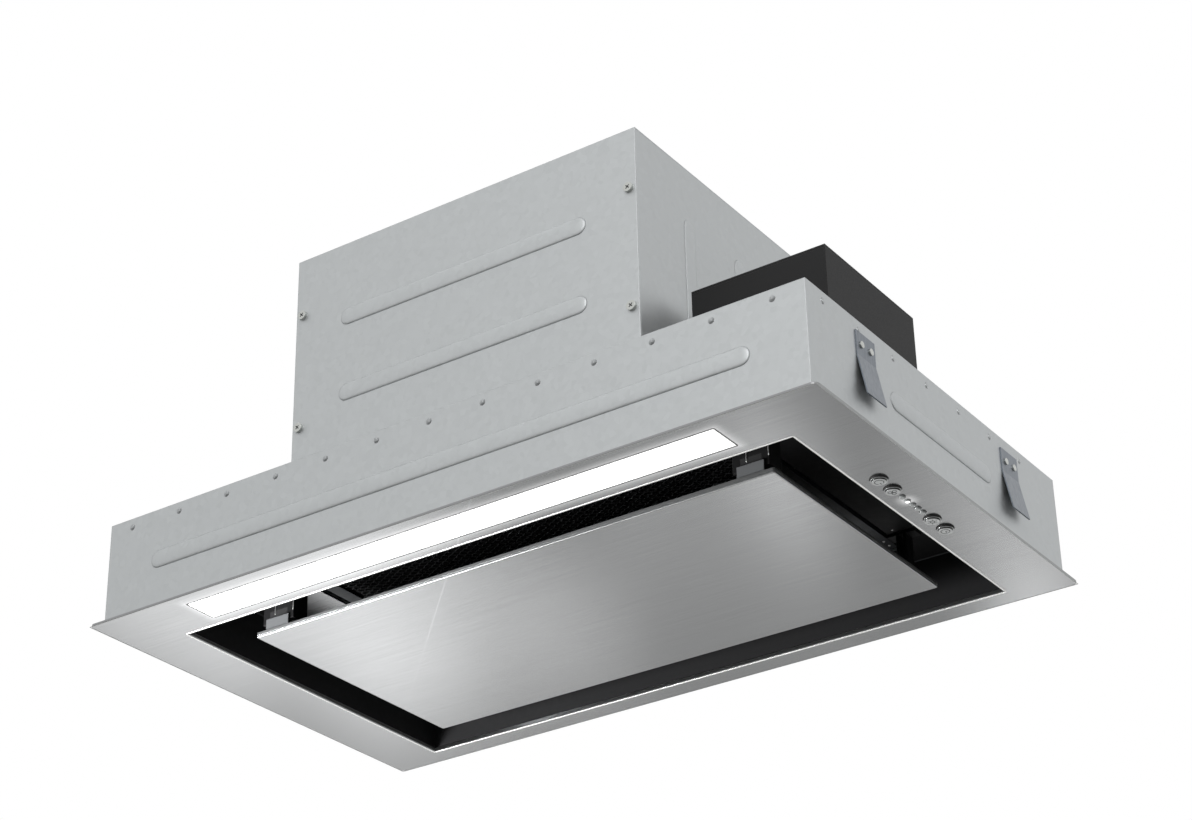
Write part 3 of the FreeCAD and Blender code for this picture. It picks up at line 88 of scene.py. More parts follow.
def put(tree: Tree, kind: str, settings: dict | None = None, feeds: dict | None = None) -> Node:
    """Adds one node with its settings and links.

    Args:
        tree: the node tree of a material or of the world.
        kind: the node's type name.
        settings: attributes to set on the node.
        feeds: socket name or number to a value, or to a pair (node, output) that is linked.

    Returns:
        The new node.
    """
    node = tree.nodes.new(kind)
    for key, value in (settings or {}).items():
        setattr(node, key, value)
    for key, value in (feeds or {}).items():
        if isinstance(value, tuple) and isinstance(value[0], Node):
            tree.links.new(value[0].outputs[value[1]], node.inputs[key])
        else:
            node.inputs[key].default_value = value
    return node


def grid_faces(rows: int, columns: int, wrap_rows: bool, wrap_columns: bool) -> np.ndarray:
    """Numbers the quads of a grid of points.

    Args:
        rows: points along the first parameter.
        columns: points along the second parameter.
        wrap_rows: whether the last row joins the first.
        wrap_columns: whether the last column joins the first.

    Returns:
        An array of four point numbers per quad.
    """
    row = np.arange(rows if wrap_rows else rows - 1)
    column = np.arange(columns if wrap_columns else columns - 1)
    r, c = np.meshgrid(row, column, indexing="ij")
    r2, c2 = (r + 1) % rows, (c + 1) % columns
    quads = np.stack([r * columns + c, r2 * columns + c, r2 * columns + c2, r * columns + c2], axis=-1)
    return quads.reshape(-1, 4)


def mesh_object(name: str, points: np.ndarray, faces: np.ndarray, smooth: bool = True) -> bpy.types.Object:
    """Puts points and quads into a new object at the origin.

    Doubled points are merged and the faces are turned outwards.

    Args:
        name: the piece's name.
        points: an array of places, in metres.
        faces: an array of point numbers.
        smooth: whether the faces are shaded smooth.

    Returns:
        The new object.
    """
    mesh = bpy.data.meshes.new(name)
    mesh.from_pydata(points.reshape(-1, 3).tolist(), [], faces.tolist())
    work = bmesh.new()
    work.from_mesh(mesh)
    bmesh.ops.remove_doubles(work, verts=work.verts, dist=MERGE)
    bmesh.ops.dissolve_degenerate(work, dist=SPECK, edges=work.edges)
    bmesh.ops.recalc_face_normals(work, faces=work.faces)
    work.to_mesh(mesh)
    work.free()
    mesh.polygons.foreach_set("use_smooth", np.full(len(mesh.polygons), smooth))
    mesh.update()
    piece = bpy.data.objects.new(name, mesh)
    bpy.context.scene.collection.objects.link(piece)
    return piece


def joined(parts: list[Shape]) -> Shape:
    """Joins several sets of points and faces into one.

    Args:
        parts: pairs of points and faces.

    Returns:
        All points, and all faces numbered into them.
    """
    flat = [p.reshape(-1, 3) for p, _ in parts]
    starts = np.cumsum([0] + [len(p) for p in flat[:-1]])
    return np.concatenate(flat), np.concatenate([f + s for (_, f), s in zip(parts, starts)])


def turned(profile: np.ndarray, centre: Pair, steps: int) -> Shape:
    """Turns a profile about an upright axis: x = cx + r cos t, y = cy + r sin t, z from the profile.

    Args:
        profile: rows of radius and height.
        centre: x and y of the axis.
        steps: points round the turn.

    Returns:
        Points and faces of the surface.
    """
    t = np.linspace(0, 2 * np.pi, steps, endpoint=False)
    r, z = profile[:, 0:1], profile[:, 1:2]
    x = centre[0] + r * np.cos(t)
    y = centre[1] + r * np.sin(t)
    points = np.stack([x, y, np.broadcast_to(z, x.shape)], axis=-1)
    return points, grid_faces(len(profile), steps, False, True)


def swept(path: np.ndarray, side: np.ndarray, up: np.ndarray, profile: np.ndarray) -> Shape:
    """Carries a closed profile along a path: p(i, j) = path(i) + a(j) side(i) + b(j) up(i).

    Both ends are drawn in to their middle.

    Args:
        path: points of the path.
        side: the profile's first direction at each point.
        up: the profile's second direction at each point.
        profile: rows of the distances a and b.

    Returns:
        Points and faces of the closed bar.
    """
    a, b = profile[:, 0][None, :, None], profile[:, 1][None, :, None]
    body = path[:, None, :] + a * side[:, None, :] + b * up[:, None, :]
    first = np.repeat(body[:1].mean(axis=1, keepdims=True), len(profile), axis=1)
    last = np.repeat(body[-1:].mean(axis=1, keepdims=True), len(profile), axis=1)
    points = np.concatenate([first, body, last])
    return points, grid_faces(len(points), len(profile), False, True)


def repeated(points: np.ndarray, faces: np.ndarray) -> Shape:
    """Numbers the faces of many equal surfaces.

    Args:
        points: an array of surfaces, each a grid of places.
        faces: the quads of one surface.

    Returns:
        All points, and the quads of all surfaces.
    """
    count = points.shape[0]
    each = int(np.prod(points.shape[1:-1]))
    shifts = np.arange(count)[:, None, None] * each
    return points.reshape(-1, 3), (faces[None] + shifts).reshape(-1, 4)


def beads(starts: np.ndarray, ends: np.ndarray, normal: Triple, half_width: float, height: float) -> Shape:
    """Presses beads with round ends out of a sheet.

    With u along a bead, d(u) the distance to its nearer end and t = min(d / half_width, 1), its section is
    s(u) = sqrt(1 - (1 - t)^2). A point is start + u (end - start) + half_width s cos(v) side
    + rise(v) s normal, where rise is height sin(v) above the sheet and a twelfth of that below it.

    Args:
        starts: the beads' first ends, in metres.
        ends: the beads' last ends.
        normal: the direction in which they rise.
        half_width: half of a bead's width.
        height: a bead's rise.

    Returns:
        Points and faces of all beads.
    """
    starts, ends = np.atleast_2d(starts).astype(float), np.atleast_2d(ends).astype(float)
    along = ends - starts
    length = np.linalg.norm(along, axis=1)
    cap = (1 - np.cos(np.linspace(0, np.pi / 2, BEAD_CAP_STEPS))) * half_width
    near = np.minimum(cap[None, :], length[:, None] / 2)
    place = np.concatenate([near, length[:, None] - near[:, ::-1]], axis=1)
    t = np.minimum(np.minimum(place, length[:, None] - place) / half_width, 1.0)
    section = np.sqrt(np.maximum(1 - (1 - t) ** 2, 0.0))
    v = np.linspace(0, 2 * np.pi, BEAD_STEPS, endpoint=False)
    rise = height * np.where(np.sin(v) > 0, np.sin(v), np.sin(v) / BEAD_FOOT)
    up = np.array(normal, float)
    side = np.cross(up, along / length[:, None])
    middle = starts[:, None, :] + (place / length[:, None])[:, :, None] * along[:, None, :]
    across = half_width * section[:, :, None] * np.cos(v)[None, None, :]
    lift = section[:, :, None] * rise[None, None, :]
    points = middle[:, :, None, :] + across[..., None] * side[:, None, None, :] + lift[..., None] * up
    return repeated(points, grid_faces(place.shape[1], len(v), False, True))


def studs(places: np.ndarray, normal: Triple, profile: np.ndarray, steps: int = STUD_STEPS) -> Shape:
    """Sets equal turned heads on a sheet: place + r(k) (cos t side + sin t other) + h(k) normal.

    Args:
        places: where the heads stand, in metres.
        normal: the direction in which they rise.
        profile: rows of radius and height, from the middle of the top to the middle of the foot.
        steps: points round a head.

    Returns:
        Points and faces of all heads.
    """
    up = np.array(normal, float)
    side = np.cross(up, np.roll(up, 1))
    other = np.cross(up, side)
    t = np.linspace(0, 2 * np.pi, steps, endpoint=False)
    ring = np.cos(t)[:, None] * side + np.sin(t)[:, None] * other
    head = profile[:, 0][:, None, None] * ring[None] + profile[:, 1][:, None, None] * up
    points = np.atleast_2d(places)[:, None, None, :] + head[None]
    return repeated(points, grid_faces(len(profile), steps, False, True))


def dome(radius: float, height: float) -> np.ndarray:
    """Lists the profile of a low dome, r = R sin(a) and h = H cos(a), closed by a foot under the sheet.

    Args:
        radius: the dome's radius R.
        height: its height H.

    Returns:
        Rows of radius and height.
    """
    a = np.linspace(0, np.pi / 2, DOME_STEPS)
    arc = np.stack([radius * np.sin(a), height * np.cos(a)], axis=1)
    foot = np.array([[radius, -height / DOME_FOOT], [0.0, -height / DOME_FOOT]])
    return np.concatenate([arc, foot])


def islands(node: bpy.types.Object) -> list[np.ndarray]:
    """Splits a solid's mesh into its loose parts: each point takes the lowest number among its neighbours.

    Args:
        node: the object with several separate bodies.

    Returns:
        The points of each loose part.
    """
    mesh = node.data
    points = np.empty(len(mesh.vertices) * 3)
    mesh.vertices.foreach_get("co", points)
    points = points.reshape(-1, 3)
    edges = np.empty(len(mesh.edges) * 2, int)
    mesh.edges.foreach_get("vertices", edges)
    edges = edges.reshape(-1, 2)
    _, same = np.unique(np.round(points / SAME_PLACE), axis=0, return_inverse=True)
    same = same.reshape(-1)
    ends = same[edges]
    label = np.arange(same.max() + 1)
    changed = True
    while changed:
        low = np.minimum(label[ends[:, 0]], label[ends[:, 1]])
        fresh = label.copy()
        np.minimum.at(fresh, ends[:, 0], low)
        np.minimum.at(fresh, ends[:, 1], low)
        changed = bool((fresh != label).any())
        label = fresh
    owner = label[same]
    return [points[owner == number] for number in np.unique(owner)]


WHITE = "#ffffff"
# The numbers of a Mix node's two colour inputs and of its colour output.
MIX_FIRST, MIX_SECOND, MIX_RESULT = 6, 7, 2
# Noise keeps mostly within this span, so the roughness runs from one end of it to the other.
GRAIN_LOW, GRAIN_HIGH = 0.3, 0.7
NOISE_DETAIL, NOISE_ROUGHNESS = 4.0, 0.6
# A face is an upright bend where its normal's height is below the first share, and flat above the second.
BEND_UPRIGHT, BEND_FLAT = 0.3, 0.9
BEVEL_SAMPLES = 4
# Brushing runs along X, and a quarter turn stretches reflections across it.
# The small Y and Z keep the direction from vanishing on faces that look along X.
BRUSHED_ALONG = (1.0, 0.002, 0.001)
QUARTER_TURN = 0.25


class Texture(Enum):
    """How a finish's grain is drawn."""

    NOISE = "noise"
    SPANGLE = "spangle"


@dataclass(frozen=True)
class Finish:
    """One real finish, drawn on Object coordinates.

    Fields give the two tones, the metal and roughness, the grain's size along X, Y and Z in millimetres,
    the height of its relief and the rounding of its edges in millimetres, and how much rougher its upright
    bends are.
    """

    name: str
    tone: str
    tone_2: str
    metallic: float = 0.0
    rough: float = 0.5
    rough_2: float = 0.6
    grain: Triple = (2.0, 2.0, 2.0)
    relief: float = 0.02
    texture: Texture = Texture.NOISE
    anisotropic: float = 0.0
    coat: float = 0.0
    specular: float = 0.5
    edge: float = 0.4
    bend: float = 0.0

    def material(self) -> bpy.types.Material:
        """Returns the material, made once."""
        known = bpy.data.materials.get(self.name)
        return known if known else self.build()

    def build(self) -> bpy.types.Material:
        """Makes the material: the grain mixes the tones, drives the roughness and raises the relief.

        Returns:
            The new material.
        """
        material = bpy.data.materials.new(self.name)
        material.use_nodes = True
        tree = material.node_tree
        shader = tree.nodes["Principled BSDF"]
        place = put(tree, "ShaderNodeTexCoord")
        scale = tuple(1.0 / (size * MM) for size in self.grain)
        spread = put(tree, "ShaderNodeMapping", None, {"Vector": (place, "Object"), "Scale": scale})
        grain = self.grain_node(tree, spread)
        tones = {"Factor": (grain, 0), MIX_FIRST: linear(self.tone), MIX_SECOND: linear(self.tone_2)}
        mix = put(tree, "ShaderNodeMix", {"data_type": "RGBA"}, tones)
        tree.links.new(mix.outputs[MIX_RESULT], shader.inputs["Base Color"])
        rough = self.rough_node(tree, place, grain)
        tree.links.new(rough.outputs[0], shader.inputs["Roughness"])
        soft = put(tree, "ShaderNodeBevel", {"samples": BEVEL_SAMPLES}, {"Radius": self.edge * MM})
        rise = {"Height": (grain, 0), "Distance": self.relief * MM, "Strength": 1.0, "Normal": (soft, 0)}
        lift = put(tree, "ShaderNodeBump", None, rise)
        tree.links.new(lift.outputs[0], shader.inputs["Normal"])
        shader.inputs["Metallic"].default_value = self.metallic
        shader.inputs["Coat Weight"].default_value = self.coat
        shader.inputs["Specular IOR Level"].default_value = self.specular
        if self.anisotropic:
            shader.inputs["Anisotropic"].default_value = self.anisotropic
            shader.inputs["Anisotropic Rotation"].default_value = QUARTER_TURN
            along = put(tree, "ShaderNodeCombineXYZ", None, dict(enumerate(BRUSHED_ALONG)))
            tree.links.new(along.outputs[0], shader.inputs["Tangent"])
        self.light_up(tree, shader, place)
        return material

    def grain_node(self, tree: Tree, spread: Node) -> Node:
        """Adds the grain texture of this finish.

        Args:
            tree: the material's nodes.
            spread: the node that scales the coordinates.

        Returns:
            A node whose first output is the grain from 0 to 1.
        """
        if self.texture is Texture.SPANGLE:
            cells = put(tree, "ShaderNodeTexVoronoi", None, {"Vector": (spread, 0), "Scale": 1.0})
            return put(tree, "ShaderNodeRGBToBW", None, {0: (cells, "Color")})
        feeds = {"Vector": (spread, 0), "Scale": 1.0, "Detail": NOISE_DETAIL, "Roughness": NOISE_ROUGHNESS}
        return put(tree, "ShaderNodeTexNoise", None, feeds)

    def rough_node(self, tree: Tree, place: Node, grain: Node) -> Node:
        """Adds the roughness: it follows the grain, and upright bends add to it.

        Args:
            tree: the material's nodes.
            place: the node with the coordinates.
            grain: the node with the grain.

        Returns:
            A node whose first output is the roughness.
        """
        span = {"From Min": GRAIN_LOW, "From Max": GRAIN_HIGH, "To Min": self.rough, "To Max": self.rough_2}
        rough = put(tree, "ShaderNodeMapRange", None, {"Value": (grain, 0), **span})
        if not self.bend:
            return rough
        parts = put(tree, "ShaderNodeSeparateXYZ", None, {0: (place, "Normal")})
        level = put(tree, "ShaderNodeMath", {"operation": "ABSOLUTE"}, {0: (parts, "Z")})
        lean = {"From Min": BEND_UPRIGHT, "From Max": BEND_FLAT, "To Min": self.bend, "To Max": 0.0}
        more = put(tree, "ShaderNodeMapRange", None, {"Value": (level, 0), **lean})
        return put(tree, "ShaderNodeMath", {"operation": "ADD"}, {0: (rough, 0), 1: (more, 0)})

    def light_up(self, tree: Tree, shader: Node, place: Node) -> None:
        """Leaves a plain finish unlit; finishes with light in them override this."""


def reach_from(tree: Tree, place: Node, centre: Pair, half: Pair) -> Node:
    """Adds the distance from a rectangle in the XY plane: |max(|p - c| - h, 0)| with z left out.

    Args:
        tree: the material's nodes.
        place: the node with the coordinates.
        centre: x and y of the rectangle's middle, in metres.
        half: its half sizes.

    Returns:
        A node whose output "Value" is the distance in metres.
    """
    chain = (
        ("MULTIPLY", {1: (1.0, 1.0, 0.0)}), ("SUBTRACT", {1: (*centre, 0.0)}), ("ABSOLUTE", {}),
        ("SUBTRACT", {1: (*half, 0.0)}), ("MAXIMUM", {1: (0.0, 0.0, 0.0)}), ("LENGTH", {}),
    )
    node, output = place, "Object"
    for operation, other in chain:
        node = put(tree, "ShaderNodeVectorMath", {"operation": operation}, {0: (node, output), **other})
        output = "Vector"
    return node


@dataclass(frozen=True)
class Glow:
    """Light that is full inside one rectangle and fades out round it; sizes are in millimetres."""

    middle: Pair
    half: Pair
    fade: float
    strength: float
    curve: float = 1.0

    def node(self, tree: Tree, place: Node) -> Node:
        """Adds strength (1 - distance / fade)^curve.

        Args:
            tree: the material's nodes.
            place: the node with the coordinates.

        Returns:
            A node whose first output is the light.
        """
        centre = tuple(v * MM for v in self.middle)
        away = reach_from(tree, place, centre, tuple(v * MM for v in self.half))
        span = {"Value": (away, "Value"), "From Max": self.fade * MM, "To Min": 1.0, "To Max": 0.0}
        near = put(tree, "ShaderNodeMapRange", None, span)
        bend = put(tree, "ShaderNodeMath", {"operation": "POWER"}, {0: (near, 0), 1: self.curve})
        return put(tree, "ShaderNodeMath", {"operation": "MULTIPLY"}, {0: (bend, 0), 1: self.strength})


@dataclass(frozen=True)
class Lit(Finish):
    """A finish with light in it: the sum of its glows, or an even light without any; on the trim and the
    lamp's edge this is a painted glow.
    """

    glows: tuple[Glow, ...] = ()
    even: float = 0.0

    def light_up(self, tree: Tree, shader: Node, place: Node) -> None:
        """Sets the even light on the shader and links the sum of the glows, where there are some.

        Args:
            tree: the material's nodes.
            shader: the surface shader.
            place: the node with the coordinates.
        """
        shader.inputs["Emission Color"].default_value = linear(WHITE)
        shader.inputs["Emission Strength"].default_value = self.even
        total = None
        for glow in self.glows:
            light = glow.node(tree, place)
            if total:
                light = put(tree, "ShaderNodeMath", {"operation": "ADD"}, {0: (total, 0), 1: (light, 0)})
            total = light
        if total:
            tree.links.new(total.outputs[0], shader.inputs["Emission Strength"])


def seen_rays(tree: Tree) -> Node:
    """Adds the share of rays by which the camera, mirrors and glass see a surface.

    Args:
        tree: the nodes of a material or of the world.

    Returns:
        A node whose first output is 1 for such rays and 0 for the light that falls on things.
    """
    path = put(tree, "ShaderNodeLightPath")
    node, output = path, "Is Camera Ray"
    for ray in ("Is Glossy Ray", "Is Transmission Ray"):
        feeds = {0: (node, output), 1: (path, ray)}
        node, output = put(tree, "ShaderNodeMath", {"operation": "MAXIMUM"}, feeds), "Value"
    return node


@dataclass(frozen=True)
class Paper(Finish):
    """Studio paper that the camera, mirrors and glass see paler than the light on it makes it."""

    pale: float = 0.26

    def light_up(self, tree: Tree, shader: Node, place: Node) -> None:
        """Adds the paleness for the rays that see the paper; its own lit surface keeps the shadow.

        Args:
            tree: the material's nodes.
            shader: the surface shader.
            place: the node with the coordinates, which the even paleness doesn't need.
        """
        feeds = {0: (seen_rays(tree), 0), 1: self.pale}
        level = put(tree, "ShaderNodeMath", {"operation": "MULTIPLY"}, feeds)
        tree.links.new(level.outputs[0], shader.inputs["Emission Strength"])
        shader.inputs["Emission Color"].default_value = linear(WHITE)


def flat_box(points: np.ndarray) -> tuple[Pair, Pair]:
    """Measures the box round some points in the XY plane.

    Args:
        points: rows of places, in metres.

    Returns:
        The box's middle and its half sizes, in millimetres.
    """
    low, high = points[:, :2].min(axis=0) / MM, points[:, :2].max(axis=0) / MM
    return tuple(((low + high) / 2).tolist()), tuple(((high - low) / 2).tolist())


# The lamp shows in its slot. The diffuser's flange reaches past the slot's edge, and the channel's wall
# shades a strip inside it. All are in millimetres.
LAMP_FLANGE = 2.3
LAMP_SHADE = 1.8
LAMP_MIDDLE, DIFFUSER_HALF = flat_box(np.array(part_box("lamp_diffuser")))
LAMP_HALF = tuple(v - LAMP_FLANGE for v in DIFFUSER_HALF)
LAMP_CORE = tuple(v - LAMP_SHADE for v in LAMP_HALF)
# The second lens from the front is lit.
LENS_ROW = sorted(islands(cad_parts["indicator_lenses"]), key=lambda lens: lens[:, 1].mean())
LENS_MIDDLE = flat_box(LENS_ROW[1])[0]
LENS_HALF = (1.5, 1.5)
LENS_CORE = (0.5, 0.5)

# Cold-rolled stainless sheet, brushed along its width: long fine streaks that stretch reflections across
# the grain. The real scratches are about 0.1 mm apart; they are drawn 0.7 mm apart so that they show.
BRUSHING = dict(
    tone="#a0a1a2", tone_2="#8b8c8d", metallic=1.0, rough=0.19, rough_2=0.22, grain=(60.0, 0.7, 0.7),
    relief=0.0014, anisotropic=0.4, edge=0.2, bend=0.25,
)
BRUSHED = Finish("brushed_stainless_sheet", **BRUSHING)
# The same sheet round the lamp slot and the lit lens, with a painted glow of their light on it that fades out
# within a centimetre.
TRIM_WITH_PAINTED_GLOW = Lit(
    "brushed_stainless_trim_painted_glow", **BRUSHING,
    glows=(Glow(LAMP_MIDDLE, LAMP_HALF, 10.0, 0.34, 2.2), Glow(LENS_MIDDLE, LENS_HALF, 9.0, 0.45, 2.0)),
)
# Satin-rolled steel of the small tabs: it scatters light evenly.
SATIN = Finish("satin_rolled_steel", "#7d7f81", "#737577", 0.5, 0.5, 0.6, (14.0, 0.8, 0.8), 0.004, edge=0.15)
# Low-gloss enamel on deep-drawn sheet: nearly black, with a faint orange-peel ripple.
ENAMEL = Finish(
    "black_enamelled_sheet", "#212122", "#1b1b1c", 0.0, 0.5, 0.58, (6.0, 6.0, 6.0), 0.02, specular=0.15,
)
# Zinc-coated sheet with fine crystals: each few millimetres a slightly different pale grey.
GALVANISED = Finish(
    "galvanised_sheet", "#b7babb", "#bfc2c3", 0.8, 0.47, 0.52, (4.0, 4.0, 4.0), 0.0, Texture.SPANGLE,
    edge=1.2,
)
# Bright zinc plate on small steel stampings: pale, slightly mottled.
ZINC = Finish("bright_zinc_plate", "#c3c5c2", "#aeb0ac", 1.0, 0.25, 0.4, (3.0, 3.0, 3.0), 0.005)
# Black passivated zinc on the hinge stampings: dark, with a faint sheen.
BLACK_ZINC = Finish("black_passivated_zinc", "#1f2021", "#18191a", 0.5, 0.4, 0.5, (3.0, 3.0, 3.0), 0.005)
# Bright-rolled plate left of the filter: a soft mirror, drawn out along its rolling streaks.
BRIGHT_ROLLED = Finish(
    "bright_rolled_sheet", "#919293", "#828384", 1.0, 0.26, 0.32, (60.0, 0.6, 0.6), 0.002, anisotropic=0.5,
    edge=0.2,
)
# The burnished edge of a sheared sheet, one thin bright line.
BURNISHED = Finish(
    "burnished_sheet_edge", "#f0f0ef", "#e6e6e5", 1.0, 0.42, 0.48, (30.0, 30.0, 30.0), 0.0, edge=0.1,
)
# The outer rim of the trim, rolled over and left as it comes from the press: a duller line.
ROLLED_RIM = Finish(
    "rolled_sheet_rim", "#b4b5b5", "#a8a9a9", 1.0, 0.42, 0.48, (30.0, 30.0, 30.0), 0.0, edge=0.1,
)
# Tempered spring strip: darker, bluish, with rolling streaks.
SPRING = Finish("tempered_spring_strip", "#7d8288", "#6b7077", 1.0, 0.3, 0.42, (1.0, 1.0, 30.0), 0.004)
# Ground and polished silver steel: a bright mirror with fine rings from the grinding.
POLISHED = Finish("ground_silver_steel", "#d2d2d0", "#c2c2c0", 1.0, 0.14, 0.22, (0.4, 6.0, 6.0), 0.001)
# Rolled aluminium of the lamp's channel and the capacitor's can: pale, with faint rolling streaks.
ALUMINIUM = Finish("rolled_aluminium", "#c6c8c9", "#b2b4b6", 1.0, 0.32, 0.46, (40.0, 1.2, 1.2), 0.006)
# Knitted aluminium wire, dulled by oxide: a tangle of dark gaps and hardly lighter strands.
KNITTED = Finish("knitted_wire_pad", "#080808", "#1c1c1d", 0.9, 0.5, 0.7, (1.6, 1.6, 1.6), 0.6)
# The filter's pressed frame, dulled by oxide: dark grey, with faint rolling streaks.
DULL_ALUMINIUM = Finish("oxidised_aluminium", "#4b4d4f", "#404244", 1.0, 0.38, 0.5, (40.0, 1.2, 1.2), 0.006)
# The strands of the filter's expanded sheets: their sheared faces are a little brighter than the frame.
STRANDS = Finish("expanded_aluminium", "#6c6d6f", "#5e6062", 1.0, 0.3, 0.4, (6.0, 6.0, 6.0), 0.004)
# Opal acrylic with light behind it; its rim lies over the channel's wall and stays greyer.
OPAL = Lit(
    "opal_acrylic_lit", "#ffffff", "#fbfbf8", 0.0, 0.25, 0.3, (20.0, 20.0, 20.0), 0.0, edge=0.1,
    glows=(Glow(LAMP_MIDDLE, LAMP_CORE, 0.8, 1.9),),
)
# The thin moulded edge round the lamp, with a faint even glow painted into it.
LAMP_EDGE_PAINTED_GLOW = Lit(
    "moulded_lamp_edge_painted_glow", "#3a3b3b", "#343535", 0.0, 0.5, 0.6, (8.0, 8.0, 8.0), 0.0, edge=0.1, even=0.05,
)
# Nickel on the small rivets inside the recess: bright points in the dark.
NICKEL = Finish("bright_nickel", "#f4f4f2", "#e8e8e6", 0.3, 0.3, 0.36, (0.6, 0.6, 0.6), 0.0, edge=0.1)
# Phosphor drop over a light chip: a smooth yellow bead.
PHOSPHOR = Finish("phosphor_drop", "#f1e27a", "#e6d35c", 0.0, 0.3, 0.4, (1.0, 1.0, 1.0), 0.01)
# Glass-fibre laminate under solder mask: glossy dark green.
LAMINATE = Finish(
    "solder_masked_laminate", "#1d5a34", "#174a2b", 0.0, 0.3, 0.42, (4.0, 4.0, 4.0), 0.01, coat=0.3,
)
# ABS with a silver metallic lacquer: an even pale sheen with fine flake.
SILVER = Finish(
    "silver_lacquered_abs", "#b4b6b6", "#a4a6a6", 0.85, 0.3, 0.38, (0.5, 0.5, 0.5), 0.004, coat=0.2,
    edge=0.1,
)
# Dark ink printed on the button faces: matt.
INK = Finish("pad_printed_ink", "#2b2d2f", "#232526", 0.0, 0.5, 0.6, (0.4, 0.4, 0.4), 0.004, edge=0.05)
# Clear moulded acrylic rods over a dark housing, the second of them lit.
LENSES = Lit(
    "clear_acrylic_lenses", "#8f9292", "#7b7e7e", 0.0, 0.12, 0.2, (1.0, 1.0, 1.0), 0.0, coat=0.4, edge=0.1,
    glows=(Glow(LENS_MIDDLE, LENS_CORE, 1.3, 3.0),),
)
# ABS with a spark-eroded mould texture: matt black, finely grained.
BLACK_ABS = Finish(
    "black_textured_abs", "#161617", "#111112", 0.0, 0.5, 0.62, (0.7, 0.7, 0.7), 0.03, specular=0.25,
    edge=0.8,
)
# Polypropylene of the air ways: waxy, slightly mottled grey.
GREY_PP = Finish("grey_polypropylene", "#6d7073", "#5f6265", 0.0, 0.42, 0.55, (2.5, 2.5, 2.5), 0.02)
# Sintered ferrite: dull charcoal, granular.
FERRITE = Finish("sintered_ferrite", "#2b2b2c", "#202021", 0.1, 0.55, 0.7, (0.6, 0.6, 0.6), 0.05)
# Dipped enamel over laminations: glossy, with drips softened out.
DIPPED = Finish("dipped_motor_enamel", "#232427", "#1a1b1d", 0.0, 0.28, 0.4, (9.0, 1.0, 1.0), 0.08)
# Sintered bronze sleeve: oil dark, granular.
BRONZE = Finish("sintered_bronze", "#8c6a3c", "#7a5a31", 1.0, 0.35, 0.5, (0.8, 0.8, 0.8), 0.02)
# Moulded rubber: matt, with a pale bloom.
RUBBER = Finish("moulded_rubber", "#1d1d1e", "#28282a", 0.0, 0.7, 0.85, (1.5, 1.5, 1.5), 0.02)
# Painted shade of the cross recess in a screw head: dark, faintly metallic strokes laid on the head.
RECESS_PAINTED_SHADE = Finish("painted_recess_shade", "#2e2f30", "#232425", 0.6, 0.5, 0.6, (0.5, 0.5, 0.5), 0.002, edge=0.05)
# Matt studio paper: nearly white, with a hardly seen mottle.
PALE_FLOOR = Paper("pale_floor", "#e4e4e2", "#dededc", 0.0, 0.7, 0.8, (300.0, 300.0, 300.0), 0.0)


DRESS = {
    BRUSHED: ("panel_skin",),
    SATIN: ("catch_tabs",),
    # The trim carries a painted glow round the lamp slot and the lit lens.
    TRIM_WITH_PAINTED_GLOW: ("trim_frame",),
    ENAMEL: ("recess_liner", "filter_deck"),
    GALVANISED: (
        "casing", "box_wrap", "box_end_left", "box_end_right", "panel_stiffeners", "filter_seat",
        "motor_bracket",
    ),
    ZINC: ("pan_screws", "bush_screws", "clip_rivets", "panel_rivets"),
    BLACK_ZINC: ("hinge_ears", "hinge_brackets"),
    SPRING: ("spring_clips",),
    POLISHED: ("hinge_pins", "shaft", "flap_spindle"),
    ALUMINIUM: ("lamp_channel", "capacitor"),
    DULL_ALUMINIUM: ("filter_frame", "filter_meshes"),
    KNITTED: ("filter_core",),
    OPAL: ("lamp_diffuser",),
    PHOSPHOR: ("lamp_chips", "indicator_chips"),
    LAMINATE: ("lamp_board", "control_board"),
    SILVER: ("button_1", "button_2", "button_3", "button_4"),
    LENSES: ("indicator_lenses",),
    BLACK_ABS: (
        "catch_blocks", "filter_latch", "lamp_caps", "outlet_collar", "collar_ring", "flap_front",
        "flap_back", "control_switches", "cable_gland", "electrics_box", "electrics_lid",
    ),
    GREY_PP: (
        "control_carrier", "control_cover", "scroll_left", "scroll_right", "impeller", "terminal_block",
    ),
    FERRITE: ("catch_magnets",),
    DIPPED: ("motor",),
    BRONZE: ("motor_bearings",),
    RUBBER: ("motor_bushes", "lead_grommets", "motor_lead"),
}


def dress(piece: bpy.types.Object, finish: Finish) -> None:
    """Gives a piece one finish.

    Args:
        piece: the object.
        finish: the finish for its only slot.
    """
    piece.data.materials.clear()
    piece.data.materials.append(finish.material())


def dress_nodes() -> None:
    """Gives every solid of the frame its finish."""
    for finish, names in DRESS.items():
        for name in names:
            dress(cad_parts[name], finish)
            LOG.info("dressed %s in %s", name, finish.name)


def add(
    name: str, shape: Shape, finish: Finish, body: str, smooth: bool = True,
) -> bpy.types.Object:
    """Adds one finished piece that moves with a body of the frame.

    Args:
        name: the piece's name.
        shape: its points and faces.
        finish: its finish.
        body: the body that carries it.
        smooth: whether its faces are shaded smooth.

    Returns:
        The new object.
    """
    piece = mesh_object(name, *shape, smooth)
    dress(piece, finish)
    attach(piece, body)
    LOG.info("built %s with %d faces", name, len(piece.data.polygons))
    return piece


class Mark(Enum):
    """The sign on a push button."""

    POWER = 1
    FAN = 2
    LAMP = 3
    CLOCK = 4


